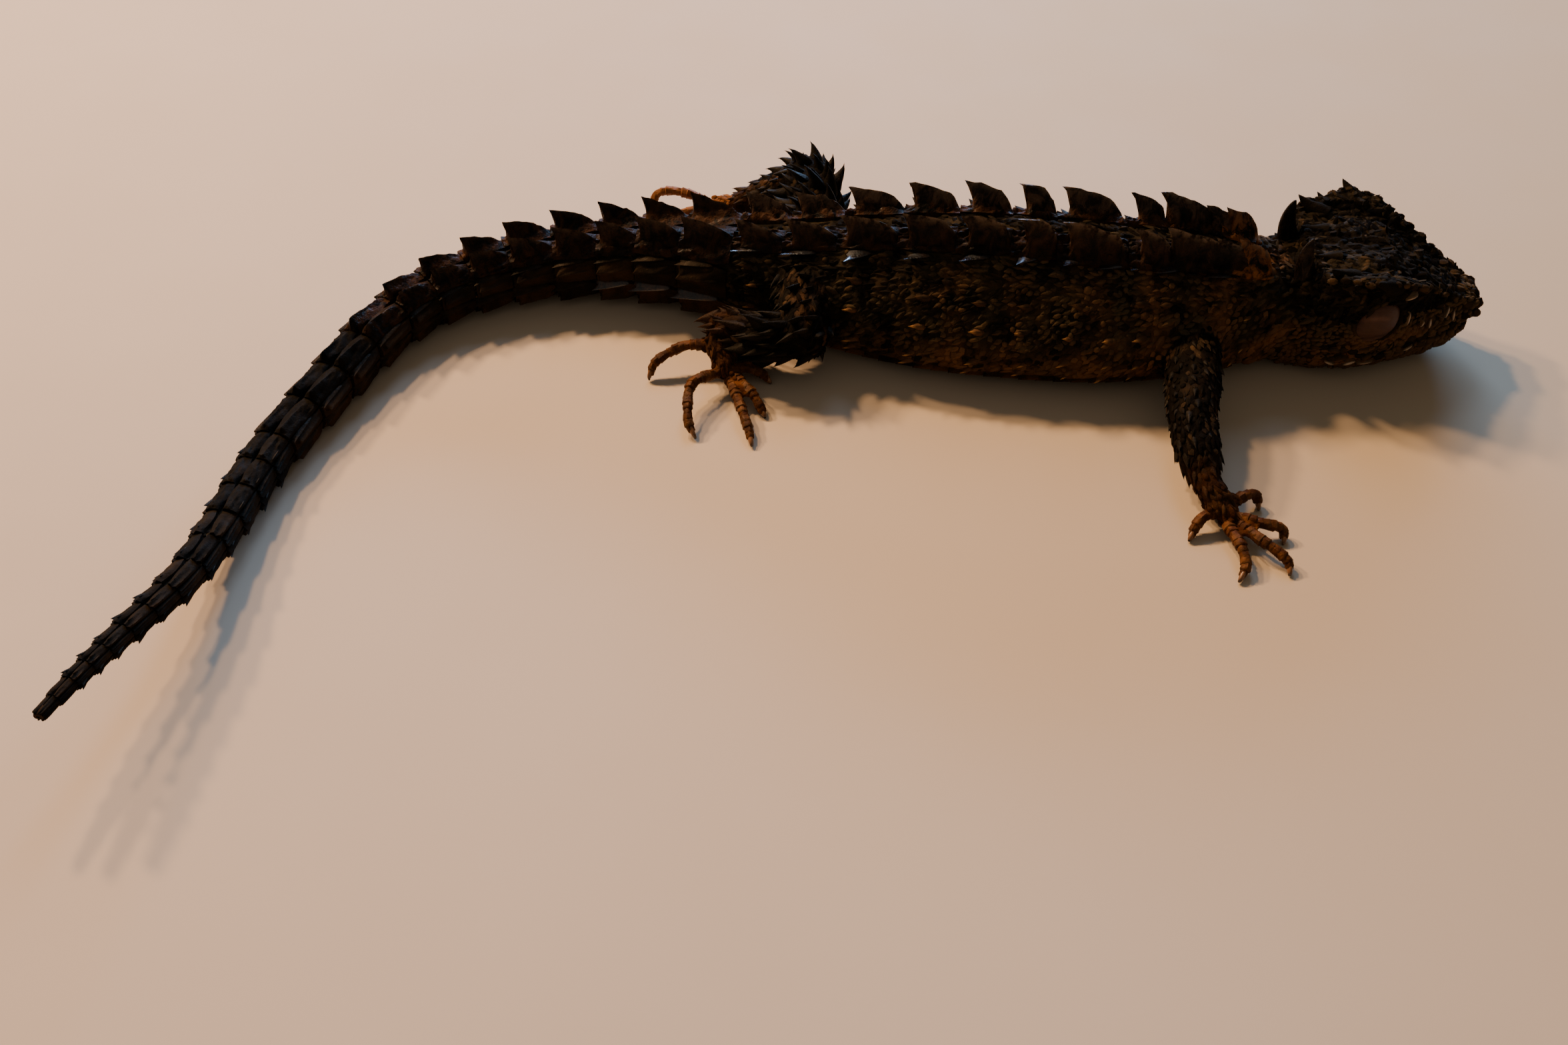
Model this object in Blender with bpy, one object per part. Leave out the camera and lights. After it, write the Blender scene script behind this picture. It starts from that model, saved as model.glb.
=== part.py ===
"""White-eyed crocodile skink, life size, as a still model that rests on its belly, jaw, feet and tail.

The animal lies along X with its head at +X, its left side is +Y and the floor is z = 0.
Sizes are in millimetres and are turned into metres when a mesh is made.
The body follows one axis line, which starts at the vent and runs forward to the snout and back
along the tail. A place on the body is a distance along that line, a side offset and a height.
"""
import math

import bmesh
import bpy
import numpy as np
from mathutils import Matrix, Vector

MM = 0.001
GAP = 0.3

# Driving lengths, measured along the axis line from the vent, and where the cuts between nodes fall
SNOUT = 90.0
HEAD_BACK = 61.6
SHOULDER = 58.0
HIP = 4.0
TAIL_ROOT = -9.0
TAIL_BASE_END = -41.0
TAIL_MIDDLE_END = -84.0
TAIL_TIP = -126.5
VENT_PLACE = (-8.7, 25.2)

# Shift that brings the middle of the whole model's box over the origin
MODEL_SHIFT = Vector((0.4, 1.2, 0.0))

# Heading of the axis line in degrees at each distance from the vent: this is the photographed bend
AXIS_HEADINGS = (
    (-128.0, 75), (-116, 73), (-108, 71), (-100, 81), (-91, 83), (-80, 75), (-72, 66.5),
    (-62, 66), (-53, 53), (-45, 32), (-36, 17), (-26, 2), (-18, -8), (0, -13), (12, -11),
    (25, -7.5), (44, -4), (54, 1), (63, 3), (72, -3), (90, -5),
)
AXIS_STEP = 0.5

# Distance from the vent, half width, height of the back, height of the belly. A belly below zero is
# cut off level with the floor, which makes the narrow flat that the animal rests on
BODY_PROFILE = (
    (-126.5, 0.45, 11.3, 10.4), (-121, 0.75, 10.7, 9.1), (-115, 1.0, 9.7, 7.6),
    (-108, 1.3, 8.4, 5.8), (-100, 1.65, 6.9, 3.5), (-92, 1.95, 5.7, 1.5), (-84, 2.15, 4.9, 0.4),
    (-76, 2.3, 4.8, -0.1), (-66, 2.55, 5.2, -0.1), (-56, 2.85, 5.9, -0.1), (-46, 3.2, 6.7, -0.1),
    (-36, 3.6, 7.5, -0.1), (-26, 4.0, 8.5, -0.1), (-16, 4.6, 10.2, -0.15), (-8, 5.6, 11.4, -0.2),
    (0, 7.5, 12.8, -0.2), (8, 10.0, 14.6, -0.2), (17, 11.9, 16.2, -0.2), (28, 12.6, 17.4, -0.2),
    (40, 12.2, 17.2, -0.2), (49, 10.4, 16.2, -0.2), (56, 8.3, 14.7, -0.1), (62.0, 7.4, 13.4, 0.2),
    (67.0, 7.2, 13.0, 0.4),
)
# Distance, height of the widest level as a share, squareness of the section above it and below it
SECTION_SHAPES = (
    (-126.0, 0.5, 2.5, 2.5), (-9, 0.5, 2.5, 2.5), (4, 0.42, 1.8, 3.1), (14, 0.4, 1.6, 3.2),
    (48, 0.4, 1.6, 3.2), (57, 0.45, 2.3, 3.2), (62, 0.45, 2.7, 3.2),
)
BODY_SIDES = 24
TAIL_SIDES = 14

# Lengths of the whorls of scutes from the nape to the tail's tip, and the height of their fins at
# each distance from the vent
WHORL_LENGTHS = (
    3.5, 4.0, 2.5, 3.0, 3.0, 3.5, 3.0, 5.5, 5.5, 6.5, 7.0, 7.4, 6.9, 6.6, 7.0, 6.1, 5.5, 6.0, 6.0,
    5.5, 5.5, 5.5, 6.5, 6.0, 6.0, 6.5, 4.5, 4.5, 4.7, 4.3, 4.5, 4.4, 3.5, 3.5, 3.2, 2.6, 2.5, 2.5, 2.4,
)
FIN_HEIGHTS = (
    (-125.0, 0.15), (-112, 0.2), (-96, 0.4), (-79, 0.6), (-66, 1.1), (-54, 1.7), (-44, 2.3),
    (-31, 3.1), (-13, 3.5), (7, 3.3), (15, 3.2), (28, 3.5), (38, 3.9), (47, 4.2), (54, 3.7),
    (59, 3.0), (60, 0.5), (62, 0.3),
)
WHORL_FLARE = 0.07
FIN_ROW_OFFSET = 3.0
FIN_THICKNESS = 0.5
FIN_LENGTH = 0.92
FIN_SINK = 1.1

# Rows of spines down one side of a whorl: angle from level, spread outward, rise, width
TRUNK_ROWS = ((58, 2.4, 1.1, 2.5), (38, 1.3, 0.8, 1.6), (19, 1.3, 1.1, 1.8), (-4, 1.2, 1.0, 1.7),
              (-20, 1.0, 0.9, 1.5))
TAIL_ROWS = ((16, 1.5, 0.6, 2.0), (-34, 1.3, 0.45, 1.8))
SPINE_SINK = 0.9

# Head, in its own frame: x runs from the nape to the snout, z is the height above the floor
HEAD_LENGTH = 26.4
HEAD_RINGS = 19
# x, roof height, edge half width, edge height, cheek half width, cheek height,
# lip half width, lip height, jaw half width, jaw height
HEAD_PROFILE = (
    (0.0, 13.0, 5.2, 12.4, 7.2, 7.6, 7.2, 4.4, 5.4, 0.2),
    (1.8, 13.2, 5.8, 13.0, 7.8, 7.8, 7.8, 4.3, 5.8, 0.0),
    (3.2, 14.6, 7.6, 14.9, 8.7, 8.0, 8.4, 4.3, 6.1, 0.0),
    (6.0, 14.8, 9.0, 15.6, 9.3, 8.2, 8.9, 4.3, 6.4, 0.0),
    (9.4, 15.0, 10.1, 16.0, 9.7, 8.2, 9.0, 4.3, 6.3, 0.0),
    (12.4, 14.5, 9.1, 15.5, 8.9, 8.2, 8.5, 4.4, 5.6, 0.1),
    (16.0, 12.9, 7.1, 13.7, 7.4, 7.9, 7.0, 4.6, 4.8, 0.3),
    (20.0, 10.9, 4.8, 11.2, 5.3, 7.4, 5.2, 4.9, 3.6, 0.9),
    (23.0, 9.4, 3.4, 9.6, 3.8, 7.1, 3.7, 5.3, 2.4, 2.0),
    (24.6, 8.7, 2.6, 8.7, 2.9, 7.0, 2.6, 5.7, 1.4, 3.7),
    (25.6, 8.2, 2.0, 8.1, 2.2, 6.9, 1.9, 6.0, 0.8, 5.1),
    (26.4, 7.5, 1.4, 7.4, 1.5, 6.9, 1.3, 6.4, 0.5, 6.1),
)
RIDGE_RISE = 0.4
LIP_GROOVE = 0.5
EYE_CENTRE = (11.5, 8.0, 9.7)
EYE_SIZE = (2.2, 1.5, 2.0)
EYE_TURN = math.radians(20)
LID_THICKNESS = 0.55
NOSTRIL = ((24.7, 2.6, 7.6), (0.5, 0.6, 0.4))
EAR = ((2.6, 8.3, 6.4), (0.9, 0.8, 1.6))
MOUTH_GAP = ((25.2, 0.0, 5.6), (1.6, 2.4, 0.4))

# Spikes of the head: x, side and height of the tip, the way back to the root, root width, root length
HEAD_SPIKES = (
    ((8.7, 10.7, 16.9), (1.3, -1.6, -1.7), 2.2, 3.2),
    ((6.0, 9.7, 16.1), (1.0, -1.3, -1.2), 1.7, 2.2),
    ((3.2, 7.7, 16.6), (1.8, -0.9, -1.8), 2.2, 3.0),
    ((2.6, 3.0, 15.2), (1.8, -0.2, -0.9), 1.9, 2.4),
    ((24.9, 2.2, 9.0), (0.3, -0.7, -0.6), 1.3, 1.5),
)
# Pair of horns behind the head: place of the root, height, width and length
NAPE_HORN = ((1.5, 4.0, 12.9), 5.4, 1.6, 3.0)

# Limbs: x, y, height and radius of the points that each length's centre line passes.
# A digit has its root, middle, tip and claw tip.
RIGHT_FORE = {
    "upper": ((41.0, 11.0, 5.6, 3.8), (40.2, 4.6, 5.6, 3.6), (38.8, -2.8, 5.6, 3.2)),
    "lower": ((38.8, -2.8, 5.6, 3.1), (38.9, -7.4, 4.5, 2.9), (39.4, -11.4, 3.2, 2.0)),
    "sole": ((39.4, -11.4, 3.2, 1.9), (41.0, -14.2, 1.9, 1.8), (42.2, -16.0, 1.2, 1.1)),
    "digits": (((41.7, -13.6, 1.6), (43.9, -12.2, 2.0), (45.4, -11.6, 1.4), (45.6, -12.8, 0.15)),
               ((42.3, -15.1, 1.6), (44.6, -16.4, 1.9), (47.4, -16.7, 1.2), (47.2, -18.2, 0.15)),
               ((42.3, -16.0, 1.4), (44.4, -19.0, 1.8), (46.9, -21.4, 1.1), (46.9, -22.8, 0.15)),
               ((41.2, -16.3, 1.4), (41.9, -19.8, 1.8), (42.2, -22.2, 1.1), (41.2, -23.9, 0.15)),
               ((40.2, -14.6, 1.8), (38.6, -15.4, 1.8), (37.6, -16.4, 1.1), (36.9, -17.6, 0.15))),
}
LEFT_FORE = {
    "upper": ((42.0, 24.0, 5.6, 3.6), (39.0, 29.8, 4.4, 3.2), (35.8, 33.6, 3.6, 2.9)),
    "lower": ((35.8, 33.6, 3.6, 2.8), (39.2, 36.4, 3.1, 2.5), (43.0, 38.6, 2.4, 1.9)),
    "sole": ((43.0, 38.6, 2.4, 1.8), (45.2, 40.0, 1.7, 1.7), (46.8, 40.8, 1.2, 1.1)),
    "digits": (((44.8, 39.0, 1.4), (46.0, 36.8, 1.6), (47.6, 35.8, 1.1), (49.2, 35.6, 0.15)),
               ((46.0, 39.9, 1.4), (48.8, 38.6, 1.6), (51.2, 38.4, 1.1), (52.8, 38.6, 0.15)),
               ((46.6, 40.7, 1.3), (49.8, 41.0, 1.6), (52.4, 41.4, 1.1), (54.0, 41.8, 0.15)),
               ((46.2, 41.2, 1.3), (48.6, 43.0, 1.5), (50.6, 44.2, 1.0), (52.0, 45.0, 0.15)),
               ((44.6, 40.6, 1.4), (44.8, 42.8, 1.5), (45.4, 44.6, 1.0), (46.2, 45.8, 0.15))),
}
RIGHT_HIND = {
    "upper": ((-6.0, 22.0, 8.0, 4.3), (-6.4, 16.4, 7.4, 4.0), (-6.8, 11.7, 6.2, 3.6)),
    "lower": ((-6.8, 11.7, 6.2, 3.5), (-11.8, 12.3, 5.4, 3.0), (-16.6, 14.8, 5.0, 2.2)),
    "sole": ((-16.8, 15.0, 4.9, 2.0), (-17.0, 12.6, 3.7, 1.9), (-16.2, 10.2, 2.4, 1.8),
             (-15.6, 8.6, 1.7, 1.1)),
    "digits": (((-15.6, 10.6, 2.4), (-13.2, 9.9, 2.2), (-11.7, 9.9, 1.4), (-10.8, 9.4, 0.15)),
               ((-15.2, 9.0, 1.8), (-13.2, 6.2, 1.8), (-12.0, 4.4, 1.1), (-11.4, 3.2, 0.15)),
               ((-15.8, 8.8, 1.6), (-14.5, 4.1, 1.9), (-13.3, 0.1, 1.1), (-12.9, -2.1, 0.15)),
               ((-16.6, 9.6, 2.0), (-20.2, 6.2, 3.0), (-20.6, 1.4, 1.7), (-19.6, -0.7, 0.15)),
               ((-17.6, 13.2, 3.4), (-21.6, 13.0, 3.2), (-25.0, 11.4, 2.0), (-25.8, 10.0, 0.15))),
}
LEFT_HIND = {
    "upper": ((-4.6, 29.0, 8.0, 4.2), (-4.8, 34.8, 9.4, 3.8), (-5.8, 39.4, 10.0, 3.5)),
    "lower": ((-5.8, 39.4, 10.0, 3.4), (-10.2, 41.0, 7.0, 2.8), (-14.6, 42.2, 4.2, 2.1)),
    "sole": ((-14.8, 42.4, 4.0, 1.9), (-17.0, 43.6, 2.8, 1.8), (-18.6, 45.0, 1.8, 1.6),
             (-19.4, 45.8, 1.4, 1.0)),
    "digits": (((-17.2, 44.2, 1.8), (-15.0, 45.0, 1.6), (-13.2, 45.0, 1.1), (-12.0, 44.6, 0.15)),
               ((-18.2, 45.2, 1.6), (-16.2, 46.6, 1.6), (-14.6, 47.0, 1.1), (-13.4, 46.8, 0.15)),
               ((-18.8, 44.8, 1.6), (-22.2, 43.8, 1.8), (-25.0, 42.4, 1.2), (-26.6, 41.4, 0.15)),
               ((-19.0, 45.6, 1.7), (-22.8, 46.6, 3.0), (-26.6, 46.8, 2.8), (-27.6, 45.4, 0.15)),
               ((-17.8, 44.0, 1.9), (-20.8, 42.0, 1.8), (-22.8, 40.4, 1.2), (-23.8, 39.2, 0.15))),
}
LIMB_SIDES = 12
LIMB_RINGS = 6
SOLE_SIDES = 10
DIGIT_SIDES = 6
DIGIT_RINGS = 7
DIGIT_RADIUS = 0.74
DIGIT_TIP_RADIUS = 0.6
CLAW_TIP_RADIUS = 0.22

# Pointed scales of the limbs: rings along a length, scales round each, reach back, rise, width
UPPER_LIMB_SCALES = (4, 7, 1.2, 0.9, 1.6)
LOWER_LIMB_SCALES = (4, 7, 1.5, 1.0, 1.7)
SEED = 7

DARK = (0.035, 0.024, 0.017)
AMBER = (0.32, 0.12, 0.035)
MAUVE = (0.20, 0.12, 0.10)


def curve_value(table, at):
    """Value of each column of a table at a distance, along a smooth curve through its rows."""
    rows = np.array(table, dtype=float)
    place, values = rows[:, 0], rows[:, 1:]
    slope = np.gradient(values, place, axis=0)
    i = int(np.clip(np.searchsorted(place, at) - 1, 0, len(place) - 2))
    span = place[i + 1] - place[i]
    t = min(max((at - place[i]) / span, 0.0), 1.0)
    a = 2 * t ** 3 - 3 * t ** 2 + 1
    b = t ** 3 - 2 * t ** 2 + t
    c = 3 * t ** 2 - 2 * t ** 3
    d = t ** 3 - t ** 2
    return a * values[i] + b * span * slope[i] + c * values[i + 1] + d * span * slope[i + 1]


def trace_axis():
    """Places and headings along the axis line, by walking its headings forward and back."""
    distances = np.arange(TAIL_TIP - 2 * AXIS_STEP, SNOUT + 3 * AXIS_STEP, AXIS_STEP)
    headings = np.radians([float(curve_value(AXIS_HEADINGS, d)[0]) for d in distances])
    steps = np.stack([np.cos(headings), np.sin(headings)], axis=1) * AXIS_STEP
    places = np.vstack([np.zeros(2), np.cumsum(steps[:-1], axis=0)])
    vent = int(np.argmin(abs(distances)))
    return distances, places - places[vent] + np.array(VENT_PLACE), headings


AXIS = trace_axis()


def on_axis(distance):
    """Point on the axis line at a distance, with the directions forward and to the left."""
    distances, places, headings = AXIS
    x = np.interp(distance, distances, places[:, 0])
    y = np.interp(distance, distances, places[:, 1])
    heading = np.interp(distance, distances, headings)
    forward = Vector((math.cos(heading), math.sin(heading), 0))
    return Vector((x, y, 0)), forward, Vector((-forward.y, forward.x, 0))


WHORLS = list(HEAD_BACK - np.cumsum((0.0,) + WHORL_LENGTHS))


def nearest_front(distance):
    """The whorl front nearest to a distance, where the body can be cut without cutting a scute."""
    return min(WHORLS, key=lambda front: abs(front - distance))


def tail_share(distance):
    """0 on the trunk and 1 on the tail, with a smooth change at the hips."""
    t = min(max((HIP - distance) / (HIP - TAIL_ROOT), 0.0), 1.0)
    return t * t * (3 - 2 * t)


def body_point(distance, angle, swell=0.0):
    """Point on the skin: angle 0 is the left side and 90 degrees is the middle of the back."""
    half_width, top, bottom = curve_value(BODY_PROFILE, distance)
    level, above, below = curve_value(SECTION_SHAPES, distance)
    widest = bottom + level * (top - bottom)
    power = 2 / (above if math.sin(angle) > 0 else below)
    reach = (top - widest if math.sin(angle) > 0 else widest - bottom) + swell
    across = math.copysign(abs(math.cos(angle)) ** power, math.cos(angle)) * (half_width + swell)
    rise = math.copysign(abs(math.sin(angle)) ** power, math.sin(angle)) * reach
    centre, _, left = on_axis(distance)
    return centre + left * across + Vector((0, 0, max(widest + rise, 0.0)))


def body_frame(distance, angle):
    """Skin point with the directions out of the skin and back along it."""
    point = body_point(distance, angle)
    back = body_point(distance - 0.4, angle) - body_point(distance + 0.4, angle)
    round_it = body_point(distance, angle + 0.03) - body_point(distance, angle - 0.03)
    back.normalize()
    normal = round_it.cross(-back).normalized()
    centre = on_axis(distance)[0]
    _, top, bottom = curve_value(BODY_PROFILE, distance)
    centre.z = (top + bottom) / 2
    if normal.dot(point - centre) < 0:
        normal = -normal
    return point, normal, back


def body_rings(cuts, sides, swell=0.0):
    """Rings of the body at some distances, each with its own share of extra girth."""
    rings = []
    for distance, extra in cuts:
        angles = [2 * math.pi * (i + 0.5) / sides - math.pi for i in range(sides)]
        rings.append([body_point(distance, angle, swell + extra) for angle in angles])
    return rings


def whorl_cuts(start, end):
    """Distances of the rings between two whorl fronts, flared at the rear edge of each whorl."""
    fronts = [front for front in WHORLS if end - 0.01 < front < start + 0.01]
    cuts = []
    for front, rear in zip(fronts, fronts[1:]):
        length = front - rear
        flare = WHORL_FLARE * float(curve_value(BODY_PROFILE, front)[0]) * tail_share(front)
        if tail_share(front) > 0.3:
            cuts += [(front, -0.5 * flare), (front - 0.88 * length, 0.5 * flare)]
        else:
            cuts.append((front, 0.0))
    return cuts


def new_object(name, mesh, colour, roughness):
    """Object with a material of its own, linked to the animal's collection."""
    material = bpy.data.materials.new(name + "_skin")
    material.use_nodes = True
    shader = material.node_tree.nodes["Principled BSDF"]
    shader.inputs["Base Color"].default_value = (*colour, 1)
    shader.inputs["Roughness"].default_value = roughness
    shader.inputs["Metallic"].default_value = 0.0
    mesh.materials.append(material)
    obj = bpy.data.objects.new(name, mesh)
    ANIMAL.objects.link(obj)
    return obj


def finish_mesh(shape, name):
    """Mesh in metres from a closed shape in millimetres."""
    bmesh.ops.triangulate(shape, faces=shape.faces)
    bmesh.ops.recalc_face_normals(shape, faces=shape.faces)
    place = Matrix.Scale(MM, 4) @ Matrix.Translation(MODEL_SHIFT)
    bmesh.ops.transform(shape, matrix=place, verts=shape.verts)
    mesh = bpy.data.meshes.new(name)
    shape.to_mesh(mesh)
    shape.free()
    return mesh


def loft(name, rings, end_point=None):
    """Closed mesh through rings of equally many points, flat at its ends or drawn out to a point."""
    shape = bmesh.new()
    loops = [[shape.verts.new(point) for point in ring] for ring in rings]
    count = len(loops[0])
    for near, far in zip(loops, loops[1:]):
        for i in range(count):
            j = (i + 1) % count
            shape.faces.new((near[i], near[j], far[j], far[i]))
    for ring, point in ((loops[0], None), (loops[-1], end_point)):
        if point is None:
            point = sum((vertex.co for vertex in ring), Vector()) / count
        hub = shape.verts.new(point)
        for i in range(count):
            shape.faces.new((ring[i], ring[(i + 1) % count], hub))
    return finish_mesh(shape, name)


def fin(point, normal, back, length, height, thickness, shares):
    """Shark-like fin: a long rounded front slope, a hollow rear edge and a tip that points back."""
    across = normal.cross(back).normalized()
    rings = []
    for share in shares:
        rise = share * height if share else -FIN_SINK
        front = -0.5 * length + 0.98 * length * share ** 3
        rear = 0.32 * length + 0.14 * length * share ** 1.4
        half = thickness * (1 - share) ** 0.7
        waist = front * 0.45 + rear * 0.55
        outline = ((front, 0.0), (waist, half), (rear, 0.0), (waist, -half))
        rings.append([point + back * along + across * side + normal * rise for along, side in outline])
    tip = point + back * 0.5 * length + normal * height
    return loft("fin", rings, end_point=tip)


def spine(point, normal, back, reach, rise, width, length, shares=(0.0,)):
    """Four sided pointed scale that leans back along the skin, its root sunk in."""
    across = normal.cross(back).normalized()
    rings = []
    for share in shares:
        centre = point + back * reach * share ** 2 + normal * (share * rise if share else -SPINE_SINK)
        size = (1 - share) ** 0.6
        rings.append([centre - back * length * 0.5 * size, centre + across * width * 0.6 * size,
                      centre + back * length * 0.4 * size, centre - across * width * 0.6 * size])
    return loft("spine", rings, end_point=point + back * reach + normal * rise)


def head_point(x, side, height):
    """Point of the head's own frame in the model's frame."""
    centre, _, left = on_axis(HEAD_BACK + x)
    return centre + left * side + Vector((0, 0, height))


def head_direction(x, vector):
    """Direction of the head's own frame in the model's frame."""
    _, forward, left = on_axis(HEAD_BACK + x)
    return forward * vector[0] + left * vector[1] + Vector((0, 0, vector[2]))


def head_ring(x):
    """One section of the head, from the keel of the throat up the left side and down the right."""
    (roof, edge_w, edge_z, cheek_w, cheek_z, lip_w, lip_z, jaw_w, jaw_z) = curve_value(HEAD_PROFILE, x)
    groove = LIP_GROOVE * min(1.0, lip_w / 3.0)
    lip = min(0.5, (lip_z - jaw_z) * 0.4)
    half = [(0.0, jaw_z), (jaw_w * 0.6, jaw_z), (jaw_w, jaw_z + 0.25),
            (jaw_w * 0.45 + lip_w * 0.55 + 0.3, (jaw_z + lip_z) / 2 - 0.2), (lip_w, lip_z - lip),
            (lip_w - groove, lip_z), (lip_w + 0.1, lip_z + lip),
            (lip_w * 0.5 + cheek_w * 0.5, lip_z * 0.4 + cheek_z * 0.6), (cheek_w, cheek_z),
            (cheek_w * 0.62 + edge_w * 0.38 - 0.15, cheek_z * 0.62 + edge_z * 0.38),
            (cheek_w * 0.3 + edge_w * 0.7 - 0.3, cheek_z * 0.3 + edge_z * 0.7),
            (edge_w, edge_z), (edge_w * 0.86, edge_z + 0.2), (edge_w * 0.62, roof),
            (edge_w * 0.34, roof + RIDGE_RISE), (0.0, roof)]
    mirrored = [(-w, z) for w, z in half[-2:0:-1]]
    return [head_point(x, w, max(z, 0.0)) for w, z in half + mirrored]


def centre_line(points, samples):
    """Smooth line through points whose last column is a radius."""
    table = [(float(i), *point) for i, point in enumerate(points)]
    return [curve_value(table, t) for t in samples]


def tube_sections(points, count, swell=0.0):
    """Centre, direction and radius at even steps along a smooth line."""
    line = centre_line(points, np.linspace(0, len(points) - 1, count))
    centres = [Vector(p[:3]) for p in line]
    sections = []
    for i, centre in enumerate(centres):
        ahead = (centres[min(i + 1, count - 1)] - centres[max(i - 1, 0)]).normalized()
        sections.append((centre, ahead, line[i][3] + swell))
    return sections


def section_point(section, turn):
    """Point on a round section at a turn from level."""
    centre, ahead, radius = section
    across = ahead.cross(Vector((0, 0, 1))).normalized()
    up = across.cross(ahead).normalized()
    return centre + (across * math.cos(turn) + up * math.sin(turn)) * radius


def round_end(section, way):
    """Sections of half a ball that closes a tube."""
    centre, ahead, radius = section
    turns = [math.radians(a) for a in (0, 40, 75)]
    return [(centre + ahead * way * radius * math.sin(a), ahead, radius * math.cos(a)) for a in turns]


def tube_rings(points, count, sides, swell=0.0, round_ends=True):
    """Rings of a tube along a smooth line, with round ends, none below the floor."""
    sections = tube_sections(points, count, swell)
    if round_ends:
        sections = round_end(sections[0], -1)[::-1] + sections[1:-1] + round_end(sections[-1], 1)
    rings = []
    for section in sections:
        ring = [section_point(section, 2 * math.pi * k / sides) for k in range(sides)]
        rings.append([Vector((point.x, point.y, max(point.z, 0.0))) for point in ring])
    return rings


def ellipsoid(name, centre, size, turn, segments=12):
    """Closed ball stretched to three half sizes and turned about the vertical."""
    shape = bmesh.new()
    bmesh.ops.create_uvsphere(shape, u_segments=segments, v_segments=segments // 2, radius=1.0)
    stretch = Matrix.Diagonal(Vector((*size, 1.0)))
    place = Matrix.Translation(centre) @ Matrix.Rotation(turn, 4, 'Z') @ stretch
    bmesh.ops.transform(shape, matrix=place, verts=shape.verts)
    return finish_mesh(shape, name)


def join(target, meshes, operation="UNION"):
    """Union with, or cut by, a collection of closed meshes, which are then removed."""
    if not meshes:
        return
    helpers = bpy.data.collections.new(target.name + "_pieces")
    bpy.context.scene.collection.children.link(helpers)
    for mesh in meshes:
        piece = bpy.data.objects.new(mesh.name, mesh)
        piece.hide_render = True
        piece.display_type = 'WIRE'
        helpers.objects.link(piece)
    modifier = target.modifiers.new("pieces", 'BOOLEAN')
    modifier.operation = operation
    modifier.operand_type = 'COLLECTION'
    modifier.collection = helpers
    modifier.solver = 'EXACT'
    bpy.context.view_layer.update()
    evaluated = target.evaluated_get(bpy.context.evaluated_depsgraph_get())
    result = bpy.data.meshes.new_from_object(evaluated)
    target.modifiers.remove(modifier)
    target.data = result
    for piece in list(helpers.objects):
        bpy.data.objects.remove(piece)
    bpy.data.collections.remove(helpers)
    keep_largest(target)


def keep_largest(target):
    """Keep the largest closed surface of a mesh, and split its faces into triangles."""
    shape = bmesh.new()
    shape.from_mesh(target.data)
    bmesh.ops.triangulate(shape, faces=shape.faces)
    unseen = set(shape.faces)
    groups = []
    while unseen:
        group, front = set(), [unseen.pop()]
        while front:
            face = front.pop()
            group.add(face)
            for edge in face.edges:
                for neighbour in edge.link_faces:
                    if neighbour in unseen:
                        unseen.discard(neighbour)
                        front.append(neighbour)
        groups.append(group)
    largest = max(groups, key=lambda group: sum(face.calc_area() for face in group))
    scraps = [face for face in shape.faces if face not in largest]
    bmesh.ops.delete(shape, geom=scraps, context='FACES')
    shape.to_mesh(target.data)
    shape.free()


def near_tube(point, line, margin):
    """Whether a point lies inside or close beside a length of a limb."""
    return any((point - centre).length < radius + margin for centre, _, radius in tube_sections(line, 9))


def near_limb(point, margin):
    """Whether a skin point lies under or close beside the root of a limb."""
    return any(near_tube(point, limb["upper"], margin) for limb in LIMBS.values())


def whorl_spines(front, rear):
    """Fins and spines of one whorl, inside its own length so that no cut meets them."""
    length = front - rear
    height = float(curve_value(FIN_HEIGHTS, front)[0])
    half_width = float(curve_value(BODY_PROFILE, front)[0])
    share = tail_share((front + rear) / 2)
    scale = min(1.0, half_width / 4.4)
    middle = front - 0.5 * length
    meshes = []
    for side in (1, -1):
        offset = min(FIN_ROW_OFFSET, 0.56 * half_width) / half_width
        angle = math.acos(side * offset ** (float(curve_value(SECTION_SHAPES, middle)[1]) / 2))
        point, normal, back = body_frame(middle, angle)
        tall = height * DRAW.uniform(0.92, 1.06)
        upright = (normal + Vector((0, 0, 1.2))).normalized()
        shares = (0.0, 0.45, 0.8) if height > 1.5 else (0.0, 0.5)
        meshes.append(fin(point, upright, back, FIN_LENGTH * length, tall,
                          FIN_THICKNESS * (0.55 + 1.7 * scale), shares))
        rows = TRUNK_ROWS if share < 0.5 else TAIL_ROWS
        for degrees, reach, rise, width in rows:
            angle = math.radians(degrees) if side > 0 else math.pi - math.radians(degrees)
            place = front - length * (0.52 + 0.05 * DRAW.uniform(-1, 1))
            point, normal, back = body_frame(place, angle)
            size = scale * DRAW.uniform(0.85, 1.15)
            tiny = degrees < 0 and scale < 0.45
            if tiny or point.z < 0.7 or near_limb(point, 1.9):
                continue
            meshes.append(spine(point, normal, back, reach * size, rise * size, width * size,
                                min(length * 0.6, 3.2) * scale))
    return meshes


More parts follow.
